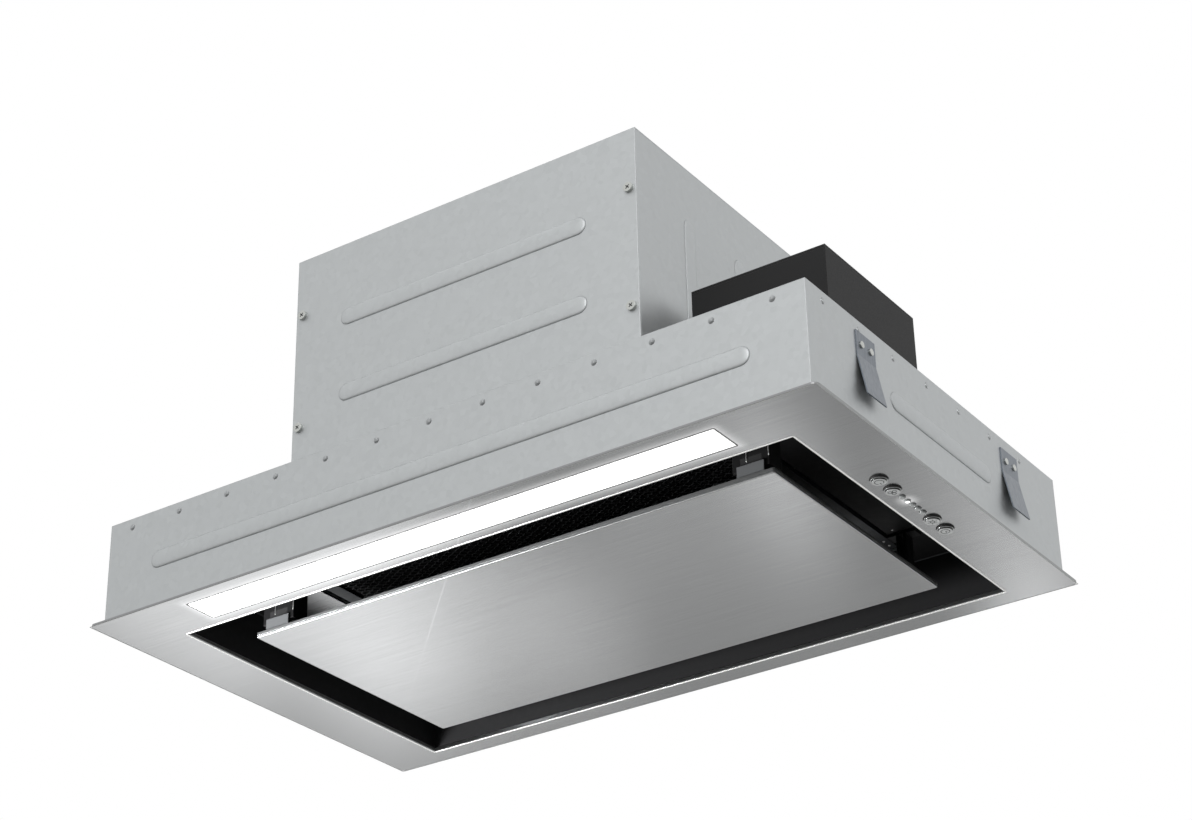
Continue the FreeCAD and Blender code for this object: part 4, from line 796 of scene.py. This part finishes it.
@dataclass(frozen=True)
class PushButton:
    """One round push button, in millimetres.

    It has a black stepped core, a silver ledge and a domed silver face with a sign. The core keeps a skin's
    thickness inside the silver. The last fields count the points round a turn, along the face's crown,
    round its edge and round the ledge's edge, along an arc and a line of the sign, and round a stroke.
    """

    number: int
    mark: Mark
    rim: float = 5.9
    ledge_rise: float = 0.95
    ledge_round: float = 0.2
    step: float = 4.9
    plate: float = 0.12
    skin: float = 0.015
    dome: float = 0.1
    collar: float = 7.8
    collar_low: float = 1.5
    collar_high: float = 3.0
    stem: float = 2.0
    mark_size: float = 3.0
    mark_width: float = 0.6
    mark_rise: float = 0.09
    turn_points: int = 72
    crown_points: int = 10
    edge_points: int = 5
    ledge_points: int = 6
    arc_points: int = 33
    line_points: int = 5
    stroke_points: int = 10

    def build(self) -> None:
        """Turns the core, ledge and face in place of the plain solid and sets the sign on the face."""
        low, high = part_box(f"button_{self.number}")
        centre = ((low.x + high.x) / 2, (low.y + high.y) / 2)
        level = low.z / MM + self.mark_rise
        body = f"key_{self.number}"
        shape = turned(self.core(level, high.z / MM) * MM, centre, self.turn_points)
        core = add(f"button_core_{self.number}", shape, BLACK_ABS, body)
        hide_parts(f"button_{self.number}")
        profiles = (self.face(level), self.ledge(level))
        silver = joined([turned(profile * MM, centre, self.turn_points) for profile in profiles])
        add(f"button_cap_{self.number}", silver, SILVER, body)
        add(f"button_sign_{self.number}", self.sign(centre, level * MM), INK, body)

    def face(self, level: float) -> np.ndarray:
        """Lists radius and height of the face plate, z = level + dome (r / step)^2 up to a quarter round.

        Args:
            level: the height of the face's middle.

        Returns:
            Rows of radius and height in millimetres.
        """
        r = np.linspace(0, self.step - self.plate, self.crown_points)
        crown = np.stack([r, level + self.dome * (r / self.step) ** 2], axis=1)
        a = np.linspace(0, np.pi / 2, self.edge_points)[1:]
        edge = crown[-1] + self.plate * np.stack([np.sin(a), 1 - np.cos(a)], axis=1)
        return np.concatenate([crown, edge, [[0.0, edge[-1, 1]]]])

    def ledge(self, level: float) -> np.ndarray:
        """Lists radius and height of the silver ring round the step, closed inside the core.

        Args:
            level: the height of the face's middle.

        Returns:
            Rows of radius and height in millimetres.
        """
        low = level + self.ledge_rise
        inner = self.step - 2 * self.plate
        flat = self.rim - self.ledge_round
        a = np.linspace(0, np.pi / 2, self.ledge_points)
        edge = np.array([flat, low]) + self.ledge_round * np.stack([np.sin(a), 1 - np.cos(a)], axis=1)
        return np.concatenate([[[inner, low]], edge, [[inner, edge[-1, 1]], [inner, low]]])

    def core(self, level: float, tip: float) -> np.ndarray:
        """Lists radius and height of the black core with its step, collar and stem.

        Args:
            level: the height of the face's middle.
            tip: the height of the stem's end.

        Returns:
            Rows of radius and height in millimetres.
        """
        top = level + self.dome + self.plate / 2
        ledge = level + self.ledge_rise + self.ledge_round / 2
        step = self.step - self.skin
        rim = self.rim - self.skin
        return np.array([
            [0.0, top], [step, top], [step, ledge], [rim, ledge], [rim, self.collar_low],
            [self.collar, self.collar_low], [self.collar, self.collar_high], [self.stem, self.collar_high],
            [self.stem, tip], [0.0, tip],
        ])

    def sign(self, centre: Pair, level: float) -> Shape:
        """Draws the sign as raised strokes, with its radii in shares of its size and its angles in degrees.

        Args:
            centre: the button's axis.
            level: the height of the face's middle, in metres.

        Returns:
            Points and faces of the strokes.
        """
        blades = [self.arc(0.45, shift=0.62, toward=turn) for turn in (90, 210, 330)]
        rays = [self.line(0.75, 1.1, turn) for turn in range(0, 360, 60)]
        strokes = {
            Mark.POWER: [self.arc(1.0, 125, 415), self.line(0.35, 1.15, 90)],
            Mark.FAN: blades + [self.arc(0.16)],
            Mark.LAMP: [self.arc(0.5)] + rays,
            Mark.CLOCK: [self.arc(1.0), self.line(0.0, 0.65, 90), self.line(0.0, 0.5, 0)],
        }[self.mark]
        return joined([self.stroke(path, centre, level) for path in strokes])

    def arc(
        self, radius: float, start: float = 0, end: float = 360, shift: float = 0, toward: float = 0,
    ) -> np.ndarray:
        """Lists points of an arc, r (cos a, sin a) + shift (cos t, sin t), in shares of the sign's size.

        Args:
            radius: the arc's radius r.
            start: its first angle.
            end: its last angle.
            shift: how far its middle is from the button's axis.
            toward: the angle t of that shift.

        Returns:
            Rows of x and y.
        """
        a = np.radians(np.linspace(start, end, self.arc_points))
        off = shift * np.array([math.cos(math.radians(toward)), math.sin(math.radians(toward))])
        return radius * np.stack([np.cos(a), np.sin(a)], axis=1) + off

    def line(self, near: float, far: float, toward: float) -> np.ndarray:
        """Returns points of a straight stroke along a radius, in shares of the sign's size."""
        way = np.array([math.cos(math.radians(toward)), math.sin(math.radians(toward))])
        return np.linspace(near, far, self.line_points)[:, None] * way

    def stroke(self, path: np.ndarray, centre: Pair, level: float) -> Shape:
        """Carries an oval section along a flat path, which follows the face's dome.

        Args:
            path: points in shares of the sign's size.
            centre: the button's axis.
            level: the height of the face's middle, in metres.

        Returns:
            Points and faces of the stroke.
        """
        flat = path * self.mark_size * MM + np.array(centre)
        crown = self.dome * MM * (path ** 2).sum(axis=1) * (self.mark_size / self.step) ** 2
        points = np.column_stack([flat, level + crown])
        way = np.gradient(points, axis=0)
        way /= np.linalg.norm(way, axis=1, keepdims=True)
        down = np.tile([0.0, 0.0, -1.0], (len(points), 1))
        v = np.linspace(0, 2 * np.pi, self.stroke_points, endpoint=False)
        oval = np.stack([self.mark_width / 2 * np.cos(v), self.mark_rise * np.sin(v)], axis=1) * MM
        return swept(points, np.cross(way, down), down, oval)


@dataclass(frozen=True)
class FilterMesh:
    """The two expanded sheets of the grease filter, in millimetres: zigzag strands that meet in diamonds."""

    pitch_x: float = 4.9
    pitch_y: float = 5.2
    strand_width: float = 0.9
    strand_height: float = 0.75
    strand_lift: float = 0.25

    def build(self) -> None:
        """Lays a sheet of strands at the lower and the upper face of the plain meshes."""
        low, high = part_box("filter_meshes")
        half = (self.strand_height / 2 + self.strand_lift) * MM
        sheets = [self.strands(low, high, level) for level in (low.z + half, high.z - half)]
        piece = add("filter_strands", joined(sheets), STRANDS, "hood")
        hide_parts("filter_meshes")

    def strands(self, low: Vector, high: Vector, level: float) -> Shape:
        """Runs zigzag strands side by side.

        x(i, k) = x0 + i pitch_x + s(i, k) amplitude and z = level + s(i, k) lift, where the sign s is -1 or 1
        by turns along a strand and from strand to strand.

        Args:
            low: the lowest corner of the sheet's box.
            high: its highest corner.
            level: the sheet's height.

        Returns:
            Points and faces of all strands.
        """
        amplitude = (self.pitch_x - self.strand_width) / 2 * MM
        margin = amplitude + self.strand_width / 2 * MM
        rows = int((high.x - low.x - 2 * margin) / (self.pitch_x * MM)) + 1
        columns = int((high.y - low.y) / (self.pitch_y / 2 * MM)) + 1
        x = np.linspace(low.x + margin, high.x - margin, rows)
        y = np.linspace(low.y, high.y, columns)
        turn = 1.0 - 2.0 * ((np.arange(columns)[None, :] + np.arange(rows)[:, None]) % 2)
        lift = level + turn * self.strand_lift * MM
        path = np.stack(np.broadcast_arrays(x[:, None] + amplitude * turn, y[None, :], lift), axis=-1)
        side = self.strand_width / 2 * MM
        tall = self.strand_height / 2 * MM
        corners = np.array([[-side, 0, -tall], [side, 0, -tall], [side, 0, tall], [-side, 0, tall]])
        body = path[:, :, None, :] + corners[None, None]
        ends = body.mean(axis=2, keepdims=True)
        first = np.repeat(ends[:, :1], len(corners), axis=2)
        last = np.repeat(ends[:, -1:], len(corners), axis=2)
        points = np.concatenate([first, body, last], axis=1)
        return repeated(points, grid_faces(points.shape[1], len(corners), False, True))


@dataclass(frozen=True)
class Recess:
    """Small things round the suction recess and the lamp, in millimetres.

    They are the trim's rounded edges, the lamp's edge, the deck's plate and fold, the catches' spring leaves
    and some rivets.
    """

    lip_inset: float = 5.0
    lip_half: float = 0.75
    lip_rise: float = 0.4
    rim_half: float = 0.36
    rim_rise: float = 0.2
    bezel_half: float = 0.6
    bezel_rise: float = 0.12
    flange: float = 6.3
    plate_half: float = 0.15
    plate_gap: float = 4.5
    plate_points: int = 24
    plate_edge_half: float = 0.6
    plate_edge_rise: float = 0.45
    fold_width: float = 0.9
    fold_rise: float = 0.7
    leaf_width: float = 0.45
    leaf_rise: float = 0.35
    leaf_length: float = 28.0
    leaf_inset: float = 10.8
    rivet_radius: float = 1.0
    rivet_rise: float = 0.6
    deck_rivets: tuple[Pair, ...] = ((196.6, 105.1), (191.3, 116.5))
    frame_rivets: tuple[Pair, ...] = ((182.2, 126.9), (182.0, 118.9))

    def build(self) -> None:
        """Adds the edges, the plate, the folds, the leaves and the rivets."""
        self.edges()
        self.plate()
        self.folds()
        self.leaves()
        self.rivets()

    def edges(self) -> None:
        """Rounds the trim's edge over, along the suction opening and outside, and edges the lamp."""
        low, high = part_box("recess_liner")
        trim_low, trim_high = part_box("trim_frame")
        inset = (self.lip_inset + self.lip_half) * MM
        inner = self.loop(low, high, inset, trim_low.z, self.lip_half, self.lip_rise)
        outer = self.loop(trim_low, trim_high, self.rim_half * MM, trim_low.z, self.rim_half, self.rim_rise)
        add("sheet_edges", inner, BURNISHED, "hood")
        add("trim_rim", outer, ROLLED_RIM, "hood")
        middle, half = np.array(LAMP_MIDDLE) * MM, np.array(LAMP_HALF) * MM
        corners = [Vector((*(middle + side * half), 0.0)) for side in (-1, 1)]
        bezel = self.loop(*corners, 0.0, trim_low.z, self.bezel_half, self.bezel_rise)
        # The lamp's edge has a faint even glow painted into it.
        add("lamp_bezel", bezel, LAMP_EDGE_PAINTED_GLOW, "hood")

    def loop(self, low: Vector, high: Vector, inset: float, level: float, half: float, rise: float) -> Shape:
        """Runs four beads round a rectangle and under its level.

        Args:
            low: the rectangle's lowest corner.
            high: its highest corner.
            inset: how far inside of it the beads run, in metres.
            level: the height that they hang from.
            half: half of a bead's width in millimetres.
            rise: how far a bead hangs down, in millimetres.

        Returns:
            Points and faces of the four beads.
        """
        x0, x1, y0, y1 = low.x + inset, high.x - inset, low.y + inset, high.y - inset
        corners = np.array([[x0, y0, level], [x1, y0, level], [x1, y1, level], [x0, y1, level]])
        return beads(corners, np.roll(corners, -1, axis=0), (0, 0, -1), half * MM, rise * MM)

    def plate(self) -> None:
        """Lays a thin plate with a turned edge under the deck's left end; its section is a flat oval."""
        low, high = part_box("recess_liner")
        turn = self.plate_half * MM
        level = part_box("filter_deck")[0].z - turn
        x0 = low.x + self.flange * MM
        x1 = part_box("filter_frame")[0].x - self.plate_gap * MM
        ends = (low.y + self.flange * MM, high.y - self.flange * MM)
        v = np.linspace(0, 2 * np.pi, self.plate_points, endpoint=False)
        across = np.sign(np.cos(v)) * ((x1 - x0) / 2 - turn) + turn * np.cos(v)
        section = np.stack([across, turn * np.sin(v)], axis=1)
        path = np.array([[(x0 + x1) / 2, y, level] for y in ends])
        shape = swept(path, np.tile([1.0, 0.0, 0.0], (2, 1)), np.tile([0.0, 0.0, 1.0], (2, 1)), section)
        add("deck_plate", shape, BRIGHT_ROLLED, "hood", smooth=False)
        start, stop = np.array([[x1, y, level] for y in ends])
        edge = beads(start, stop, (0, 0, -1), self.plate_edge_half * MM, self.plate_edge_rise * MM)
        add("plate_edge", edge, BURNISHED, "hood")

    def folds(self) -> None:
        """Runs the deck's folded edge along the upper corner of the recess."""
        low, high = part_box("recess_liner")
        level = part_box("filter_deck")[0].z
        shape = self.loop(low, high, self.flange * MM, level, self.fold_width, self.fold_rise)
        add("deck_folds", shape, DULL_ALUMINIUM, "hood")

    def leaves(self) -> None:
        """Sets two spring leaves on the front of each catch block."""
        starts = []
        for block in islands(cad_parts["catch_blocks"]):
            (x0, y0, _), (x1, _, top) = block.min(axis=0), block.max(axis=0)
            starts += [(x0 + self.leaf_inset * MM, y0, top), (x1 - self.leaf_width * MM, y0, top)]
        starts = np.array(starts)
        ends = starts - np.array([0.0, 0.0, self.leaf_length * MM])
        shape = beads(starts, ends, (0, -1, 0), self.leaf_width * MM, self.leaf_rise * MM)
        add("catch_leaves", shape, BURNISHED, "hood")

    def rivets(self) -> None:
        """Sets the bright heads near the filter's right end, on the deck and on the filter's frame."""
        profile = dome(self.rivet_radius, self.rivet_rise) * MM
        places = []
        for rivets, carrier in ((self.deck_rivets, "filter_deck"), (self.frame_rivets, "filter_frame")):
            places += [(x * MM, y * MM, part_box(carrier)[0].z) for x, y in rivets]
        add("filter_rivets", studs(np.array(places), (0, 0, -1), profile), NICKEL, "hood")


@dataclass(frozen=True)
class Sheetwork:
    """Pressed beads and spot welds on the casing and the motor box, in millimetres.

    The beads on the casing's ends reach over a share of the clips' half spread, and those on its top keep a
    share of the end room from the box.
    """

    bead_half: float = 7.0
    bead_rise: float = 1.2
    end_room: float = 42.0
    sheet: float = 1.0
    clip_share: float = 0.62
    top_share: float = 0.7
    top_beads: int = 3
    wall_beads: int = 2
    end_beads: int = 3
    weld_radius: float = 2.4
    weld_rise: float = 0.12
    weld_pitch: float = 45.0
    weld_edge: float = 7.0
    weld_start: float = 21.0
    weld_stop: float = 14.0

    def build(self) -> None:
        """Adds the beads of both boxes and the welds of the casing."""
        add("casing_beads", joined(self.casing_beads()), GALVANISED, "hood")
        add("box_beads", joined(self.box_beads()), GALVANISED, "hood")
        add("spot_welds", joined(self.welds()), GALVANISED, "hood")

    def pressed(self, starts: list[Triple], ends: list[Triple], normal: Triple) -> Shape:
        """Returns beads of the one size between points in metres."""
        return beads(np.array(starts), np.array(ends), normal, self.bead_half * MM, self.bead_rise * MM)

    def casing_beads(self) -> list[Shape]:
        """Lists the beads on the casing's sides and top.

        Returns:
            Shapes, one for each face.
        """
        low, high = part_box("casing")
        room = self.end_room * MM
        level = (high.z + low.z) / 2
        shapes = []
        for y, way in ((low.y, -1), (high.y, 1)):
            shapes.append(self.pressed([(low.x + room, y, level)], [(high.x - room, y, level)], (0, way, 0)))
        inner = self.clip_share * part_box("spring_clips")[1].y
        for x, way in ((low.x, -1), (high.x, 1)):
            shapes.append(self.pressed([(x, -inner, level)], [(x, inner, level)], (way, 0, 0)))
        near = self.top_share * room
        left = np.linspace(low.x + near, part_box("box_wrap")[0].x - near, self.top_beads)
        starts = [(x, low.y + room, high.z) for x in left]
        ends = [(x, high.y - room, high.z) for x in left]
        shapes.append(self.pressed(starts, ends, (0, 0, 1)))
        return shapes

    def box_beads(self) -> list[Shape]:
        """Lists the beads on the motor box's walls and top.

        Returns:
            Shapes, one for each face.
        """
        low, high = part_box("box_wrap")
        end_low, end_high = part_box("box_end_right")
        room = self.end_room * MM
        front, back = end_low.y - self.sheet * MM, end_high.y + self.sheet * MM
        levels = np.linspace(low.z, high.z, self.wall_beads + 2)[1:-1]
        shapes = []
        for y, way in ((front, -1), (back, 1)):
            starts = [(low.x + room, y, z) for z in levels]
            ends = [(high.x - room, y, z) for z in levels]
            shapes.append(self.pressed(starts, ends, (0, way, 0)))
        columns = np.linspace(front, back, self.end_beads + 2)[1:-1]
        for x, way in ((low.x, -1), (high.x, 1)):
            starts = [(x, y, low.z + room) for y in columns]
            ends = [(x, y, high.z - room) for y in columns]
            shapes.append(self.pressed(starts, ends, (way, 0, 0)))
        y = front + room
        shapes.append(self.pressed([(low.x + room, y, high.z)], [(high.x - room, y, high.z)], (0, 0, 1)))
        return shapes

    def welds(self) -> list[Shape]:
        """Lists rows of spot welds along the casing's upper edges.

        Returns:
            Shapes, one for each face.
        """
        low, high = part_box("casing")
        level = high.z - self.weld_edge * MM
        start, stop, pitch = self.weld_start * MM, self.weld_stop * MM, self.weld_pitch * MM
        profile = dome(self.weld_radius, self.weld_rise) * MM
        across = np.arange(low.x + start, high.x - stop, pitch)
        deep = np.arange(low.y + start, high.y - stop, pitch)
        shapes = []
        for y, way in ((low.y, -1), (high.y, 1)):
            row = np.stack(np.broadcast_arrays(across, y, level), axis=1)
            shapes.append(studs(row, (0, way, 0), profile))
        for x, way in ((low.x, -1), (high.x, 1)):
            row = np.stack(np.broadcast_arrays(x, deep, level), axis=1)
            shapes.append(studs(row, (way, 0, 0), profile))
        return shapes


@dataclass(frozen=True)
class ScrewCrosses:
    """Dark crosses laid on the pan-head screws as painted shade of their cross recesses, in millimetres."""

    reach: float = 1.9
    half_width: float = 0.42
    rise: float = 0.04

    def build(self) -> None:
        """Sets a dark cross of painted recess shade on every screw head, on the side where a screw has most
        of its points.
        """
        crosses = [self.cross(screw) for screw in islands(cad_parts["pan_screws"])]
        add("screw_crosses", joined(crosses), RECESS_PAINTED_SHADE, "hood")

    def cross(self, screw: np.ndarray) -> Shape:
        """Draws one cross.

        Args:
            screw: the points of one screw.

        Returns:
            Points and faces of its two strokes.
        """
        low, high = screw.min(axis=0), screw.max(axis=0)
        middle = (low + high) / 2
        lean = screw.mean(axis=0) - middle
        axis = int(np.argmax(np.abs(lean)))
        up = np.zeros(3)
        up[axis] = np.sign(lean[axis])
        top = middle.copy()
        top[axis] = high[axis] if up[axis] > 0 else low[axis]
        side = np.roll(up, 1)
        other = np.cross(up, side)
        arms = np.stack([side + other, side - other]) * self.reach * MM / math.sqrt(2)
        return beads(top - arms, top + arms, tuple(up), self.half_width * MM, self.rise * MM)


@dataclass(frozen=True)
class Collar:
    """Beads round the duct collar, in millimetres, and the points round a bead and round the tube."""

    bead_rise: float = 0.7
    bead_half: float = 1.1
    bead_tuck: float = 0.2
    rim_drop: float = 1.4
    grip_drop: float = 12.0
    bead_points: int = 9
    tube_points: int = 120

    def build(self) -> None:
        """Turns a rim bead and a grip bead on the tube."""
        low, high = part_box("outlet_collar")
        centre = ((low.x + high.x) / 2, (low.y + high.y) / 2)
        radius = (high.x - low.x) / 2
        rings = [self.ring(centre, radius, high.z - drop * MM) for drop in (self.rim_drop, self.grip_drop)]
        add("collar_beads", joined(rings), BLACK_ABS, "hood")

    def ring(self, centre: Pair, radius: float, level: float) -> Shape:
        """Turns one half-round bead, closed just inside the tube's wall.

        Args:
            centre: the tube's axis.
            radius: the tube's radius.
            level: the bead's height.

        Returns:
            Points and faces of the bead.
        """
        a = np.linspace(-np.pi / 2, np.pi / 2, self.bead_points)
        r = radius + self.bead_rise * MM * np.cos(a)
        z = level + self.bead_half * MM * np.sin(a)
        profile = np.stack([np.append(r, radius - self.bead_tuck * MM), np.append(z, level)], axis=1)
        profile = np.concatenate([profile, profile[:1]])
        return turned(profile, centre, self.tube_points)


@dataclass(frozen=True)
class ElectricsCover:
    """Ribs and screws on the electrics box's lid, in millimetres."""

    ribs: int = 5
    rib_half: float = 1.6
    rib_rise: float = 0.9
    rib_room: float = 22.0
    screw_inset: float = 8.0
    screw_radius: float = 3.2
    screw_rise: float = 1.8
    screw_points: int = 28
    cross_reach: float = 1.7
    cross_half: float = 0.4
    cross_rise: float = 0.04

    def build(self) -> None:
        """Adds ribs across the lid and a screw in each corner, with a dark cross painted on its head as the
        shade of its cross recess.
        """
        low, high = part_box("electrics_lid")
        room = self.rib_room * MM
        x = np.linspace(low.x + room, high.x - room, self.ribs)
        starts = np.stack(np.broadcast_arrays(x, low.y + room, high.z), axis=1)
        ends = np.stack(np.broadcast_arrays(x, high.y - room, high.z), axis=1)
        ribs = beads(starts, ends, (0, 0, 1), self.rib_half * MM, self.rib_rise * MM)
        add("lid_ribs", ribs, BLACK_ABS, "hood")
        inset = self.screw_inset * MM
        columns, rows = (low.x + inset, high.x - inset), (low.y + inset, high.y - inset)
        places = np.array([(x, y, high.z) for x in columns for y in rows])
        head = dome(self.screw_radius, self.screw_rise) * MM
        add("lid_screws", studs(places, (0, 0, 1), head, self.screw_points), ZINC, "hood")
        tops = places + np.array([0.0, 0.0, self.screw_rise * MM])
        half, rise = self.cross_half * MM, self.cross_rise * MM
        arms = np.eye(3)[:2] * self.cross_reach * MM
        crosses = [beads(tops - arm, tops + arm, (0, 0, 1), half, rise) for arm in arms]
        add("lid_crosses", joined(crosses), RECESS_PAINTED_SHADE, "hood")


@dataclass(frozen=True)
class Softbox:
    """One rectangular soft light that the camera doesn't see, in metres and watts."""

    name: str
    place: Triple
    aim: Triple
    size: Pair
    watts: float

    def build(self) -> bpy.types.Object:
        """Adds the light.

        Returns:
            Its object.
        """
        data = bpy.data.lights.new(self.name, "AREA")
        data.shape = "RECTANGLE"
        data.size, data.size_y = self.size
        data.energy = self.watts
        lamp = bpy.data.objects.new(self.name, data)
        lamp.location = self.place
        lamp.rotation_euler = (Vector(self.aim) - Vector(self.place)).to_track_quat("-Z", "Y").to_euler()
        lamp.visible_camera = False
        bpy.context.scene.collection.objects.link(lamp)
        return lamp


# Softboxes that lie low behind the hood and face straight up, with x, y, size and watts. Flat steel mirrors
# them: with C the camera's mirror image over the steel, h the camera's depth and d that of the boxes,
# a point P of the steel shows the point P + (P - C) d / h of their plane.
LOW_LEVEL = -0.5
LOW_BOXES = tuple(
    Softbox(name, (x, y, LOW_LEVEL), (x, y, 0.0), size, watts)
    for name, x, y, size, watts in (
        ("low_left", -0.85, 0.60, (0.5, 0.45), 1.32),
        ("low_core", -0.79, 0.785, (0.40, 0.42), 1.42),
        ("low_inner", -0.55, 0.825, (0.5, 0.3), 0.10),
        ("low_middle", -0.32, 0.74, (0.2, 0.2), 0.27),
        ("low_edge", -0.12, 1.0, (0.12, 0.4), 0.13),
        ("low_far", 0.80, 0.75, (0.5, 0.5), 1.20),
        ("low_right", -0.25, 1.35, (0.1, 0.15), 0.24),
    )
)
# A small light below the hood's left front corner, and wide ones for the casing.
KEY_BOX = Softbox("key", (-0.55, -0.45, -0.35), (-0.2, -0.1, 0.0), (0.3, 0.3), 16.0)
WIDE_BOXES = (
    Softbox("front", (0.8, -2.2, 1.2), (0.0, 0.0, 0.1), (1.6, 1.2), 20.0),
    Softbox("top", (-1.2, 0.6, 2.4), (0.0, 0.0, 0.2), (2.0, 2.0), 24.0),
)


@dataclass(frozen=True)
class Studio:
    """Camera, lights, world and floor, in metres and degrees; the sensor is in millimetres.

    The camera's place and turn were fitted to the trim's corners, so that the frame holds the hood as
    pictured. The focal length came out in pixels of a frame of that width.
    """

    place: Triple = (0.981852, -1.424637, -0.785942)
    yaw: float = 34.0921
    pitch: float = 28.5486
    roll: float = -1.20518
    focal_pixels: float = 2685.645
    frame_pixels: float = 1192.0
    sensor: float = 36.0
    clip_end: float = 50.0
    world_lit: float = 0.34
    world_seen: float = 1.0
    floor_depth: float = 3.2
    floor_half: float = 80.0
    floor_points: int = 9

    def camera(self) -> None:
        """Adds the camera: its axes are the sideways, upward and backward directions of the fitted view."""
        yaw, pitch, roll = (math.radians(a) for a in (self.yaw, self.pitch, self.roll))
        level = math.cos(pitch)
        ahead = np.array([-math.sin(yaw) * level, math.cos(yaw) * level, math.sin(pitch)])
        right = np.array([math.cos(yaw), math.sin(yaw), 0.0])
        up = np.cross(right, ahead)
        side = math.cos(roll) * right + math.sin(roll) * up
        top = -math.sin(roll) * right + math.cos(roll) * up
        data = bpy.data.cameras.new("camera")
        data.sensor_width = self.sensor
        data.lens = self.focal_pixels / self.frame_pixels * self.sensor
        data.clip_end = self.clip_end
        eye = bpy.data.objects.new("camera", data)
        turn = np.eye(4)
        turn[:3, 0], turn[:3, 1], turn[:3, 2], turn[:3, 3] = side, top, -ahead, self.place
        eye.matrix_world = Matrix(turn.tolist())
        bpy.context.scene.collection.objects.link(eye)
        bpy.context.scene.camera = eye

    def flag(self, lamp: bpy.types.Object) -> None:
        """Keeps a light off the trim, the sheet boxes and what is fixed to them, as a black flag does.

        Args:
            lamp: the light.
        """
        shaded = {finish.name for finish in (GALVANISED, ZINC, SPRING, RECESS_PAINTED_SHADE, ROLLED_RIM, TRIM_WITH_PAINTED_GLOW)}
        lit = bpy.data.collections.new("lit_by_" + lamp.name)
        for piece in [p for p in bpy.data.objects if p.type == "MESH"]:
            if not shaded & {m.name for m in piece.data.materials if m}:
                lit.objects.link(piece)
        lamp.light_linking.receiver_collection = lit

    def lights(self) -> None:
        """Adds the softboxes, with the key flagged."""
        for box in LOW_BOXES:
            box.build()
        self.flag(KEY_BOX.build())
        for box in WIDE_BOXES:
            box.build()

    def world(self) -> None:
        """Sets the world: white where the camera, mirrors and glass see it, and a plain grey as light."""
        world = bpy.data.worlds.new("studio")
        world.use_nodes = True
        tree = world.node_tree
        tree.nodes.clear()
        colour = linear(WHITE)
        lit = put(tree, "ShaderNodeBackground", None, {"Color": colour, "Strength": self.world_lit})
        white = put(tree, "ShaderNodeBackground", None, {"Color": colour, "Strength": self.world_seen})
        both = put(tree, "ShaderNodeMixShader", None, {0: (seen_rays(tree), 0), 1: (lit, 0), 2: (white, 0)})
        put(tree, "ShaderNodeOutputWorld", None, {"Surface": (both, 0)})
        bpy.context.scene.world = world

    def floor(self) -> None:
        """Adds the pale floor, a grid of points far below because the hood hangs."""
        line = np.linspace(-self.floor_half, self.floor_half, self.floor_points)
        x, y = np.meshgrid(line, line, indexing="ij")
        points = np.stack([x, y, np.full_like(x, -self.floor_depth)], axis=-1)
        plane = mesh_object("floor", points, grid_faces(len(line), len(line), False, False))
        dress(plane, PALE_FLOOR)

    def build(self) -> None:
        """Builds the whole studio."""
        self.camera()
        self.lights()
        self.world()
        self.floor()
        bpy.context.scene.view_settings.view_transform = "Standard"


def main() -> None:
    """Builds the hood's pieces in order, then the studio."""
    logging.basicConfig(level=logging.INFO, format="%(message)s")
    dress_nodes()
    for number, mark in enumerate(Mark, start=1):
        PushButton(number, mark).build()
    FilterMesh().build()
    Recess().build()
    Sheetwork().build()
    ScrewCrosses().build()
    Collar().build()
    ElectricsCover().build()
    Studio().build()


if __name__ == "__main__":
    main()
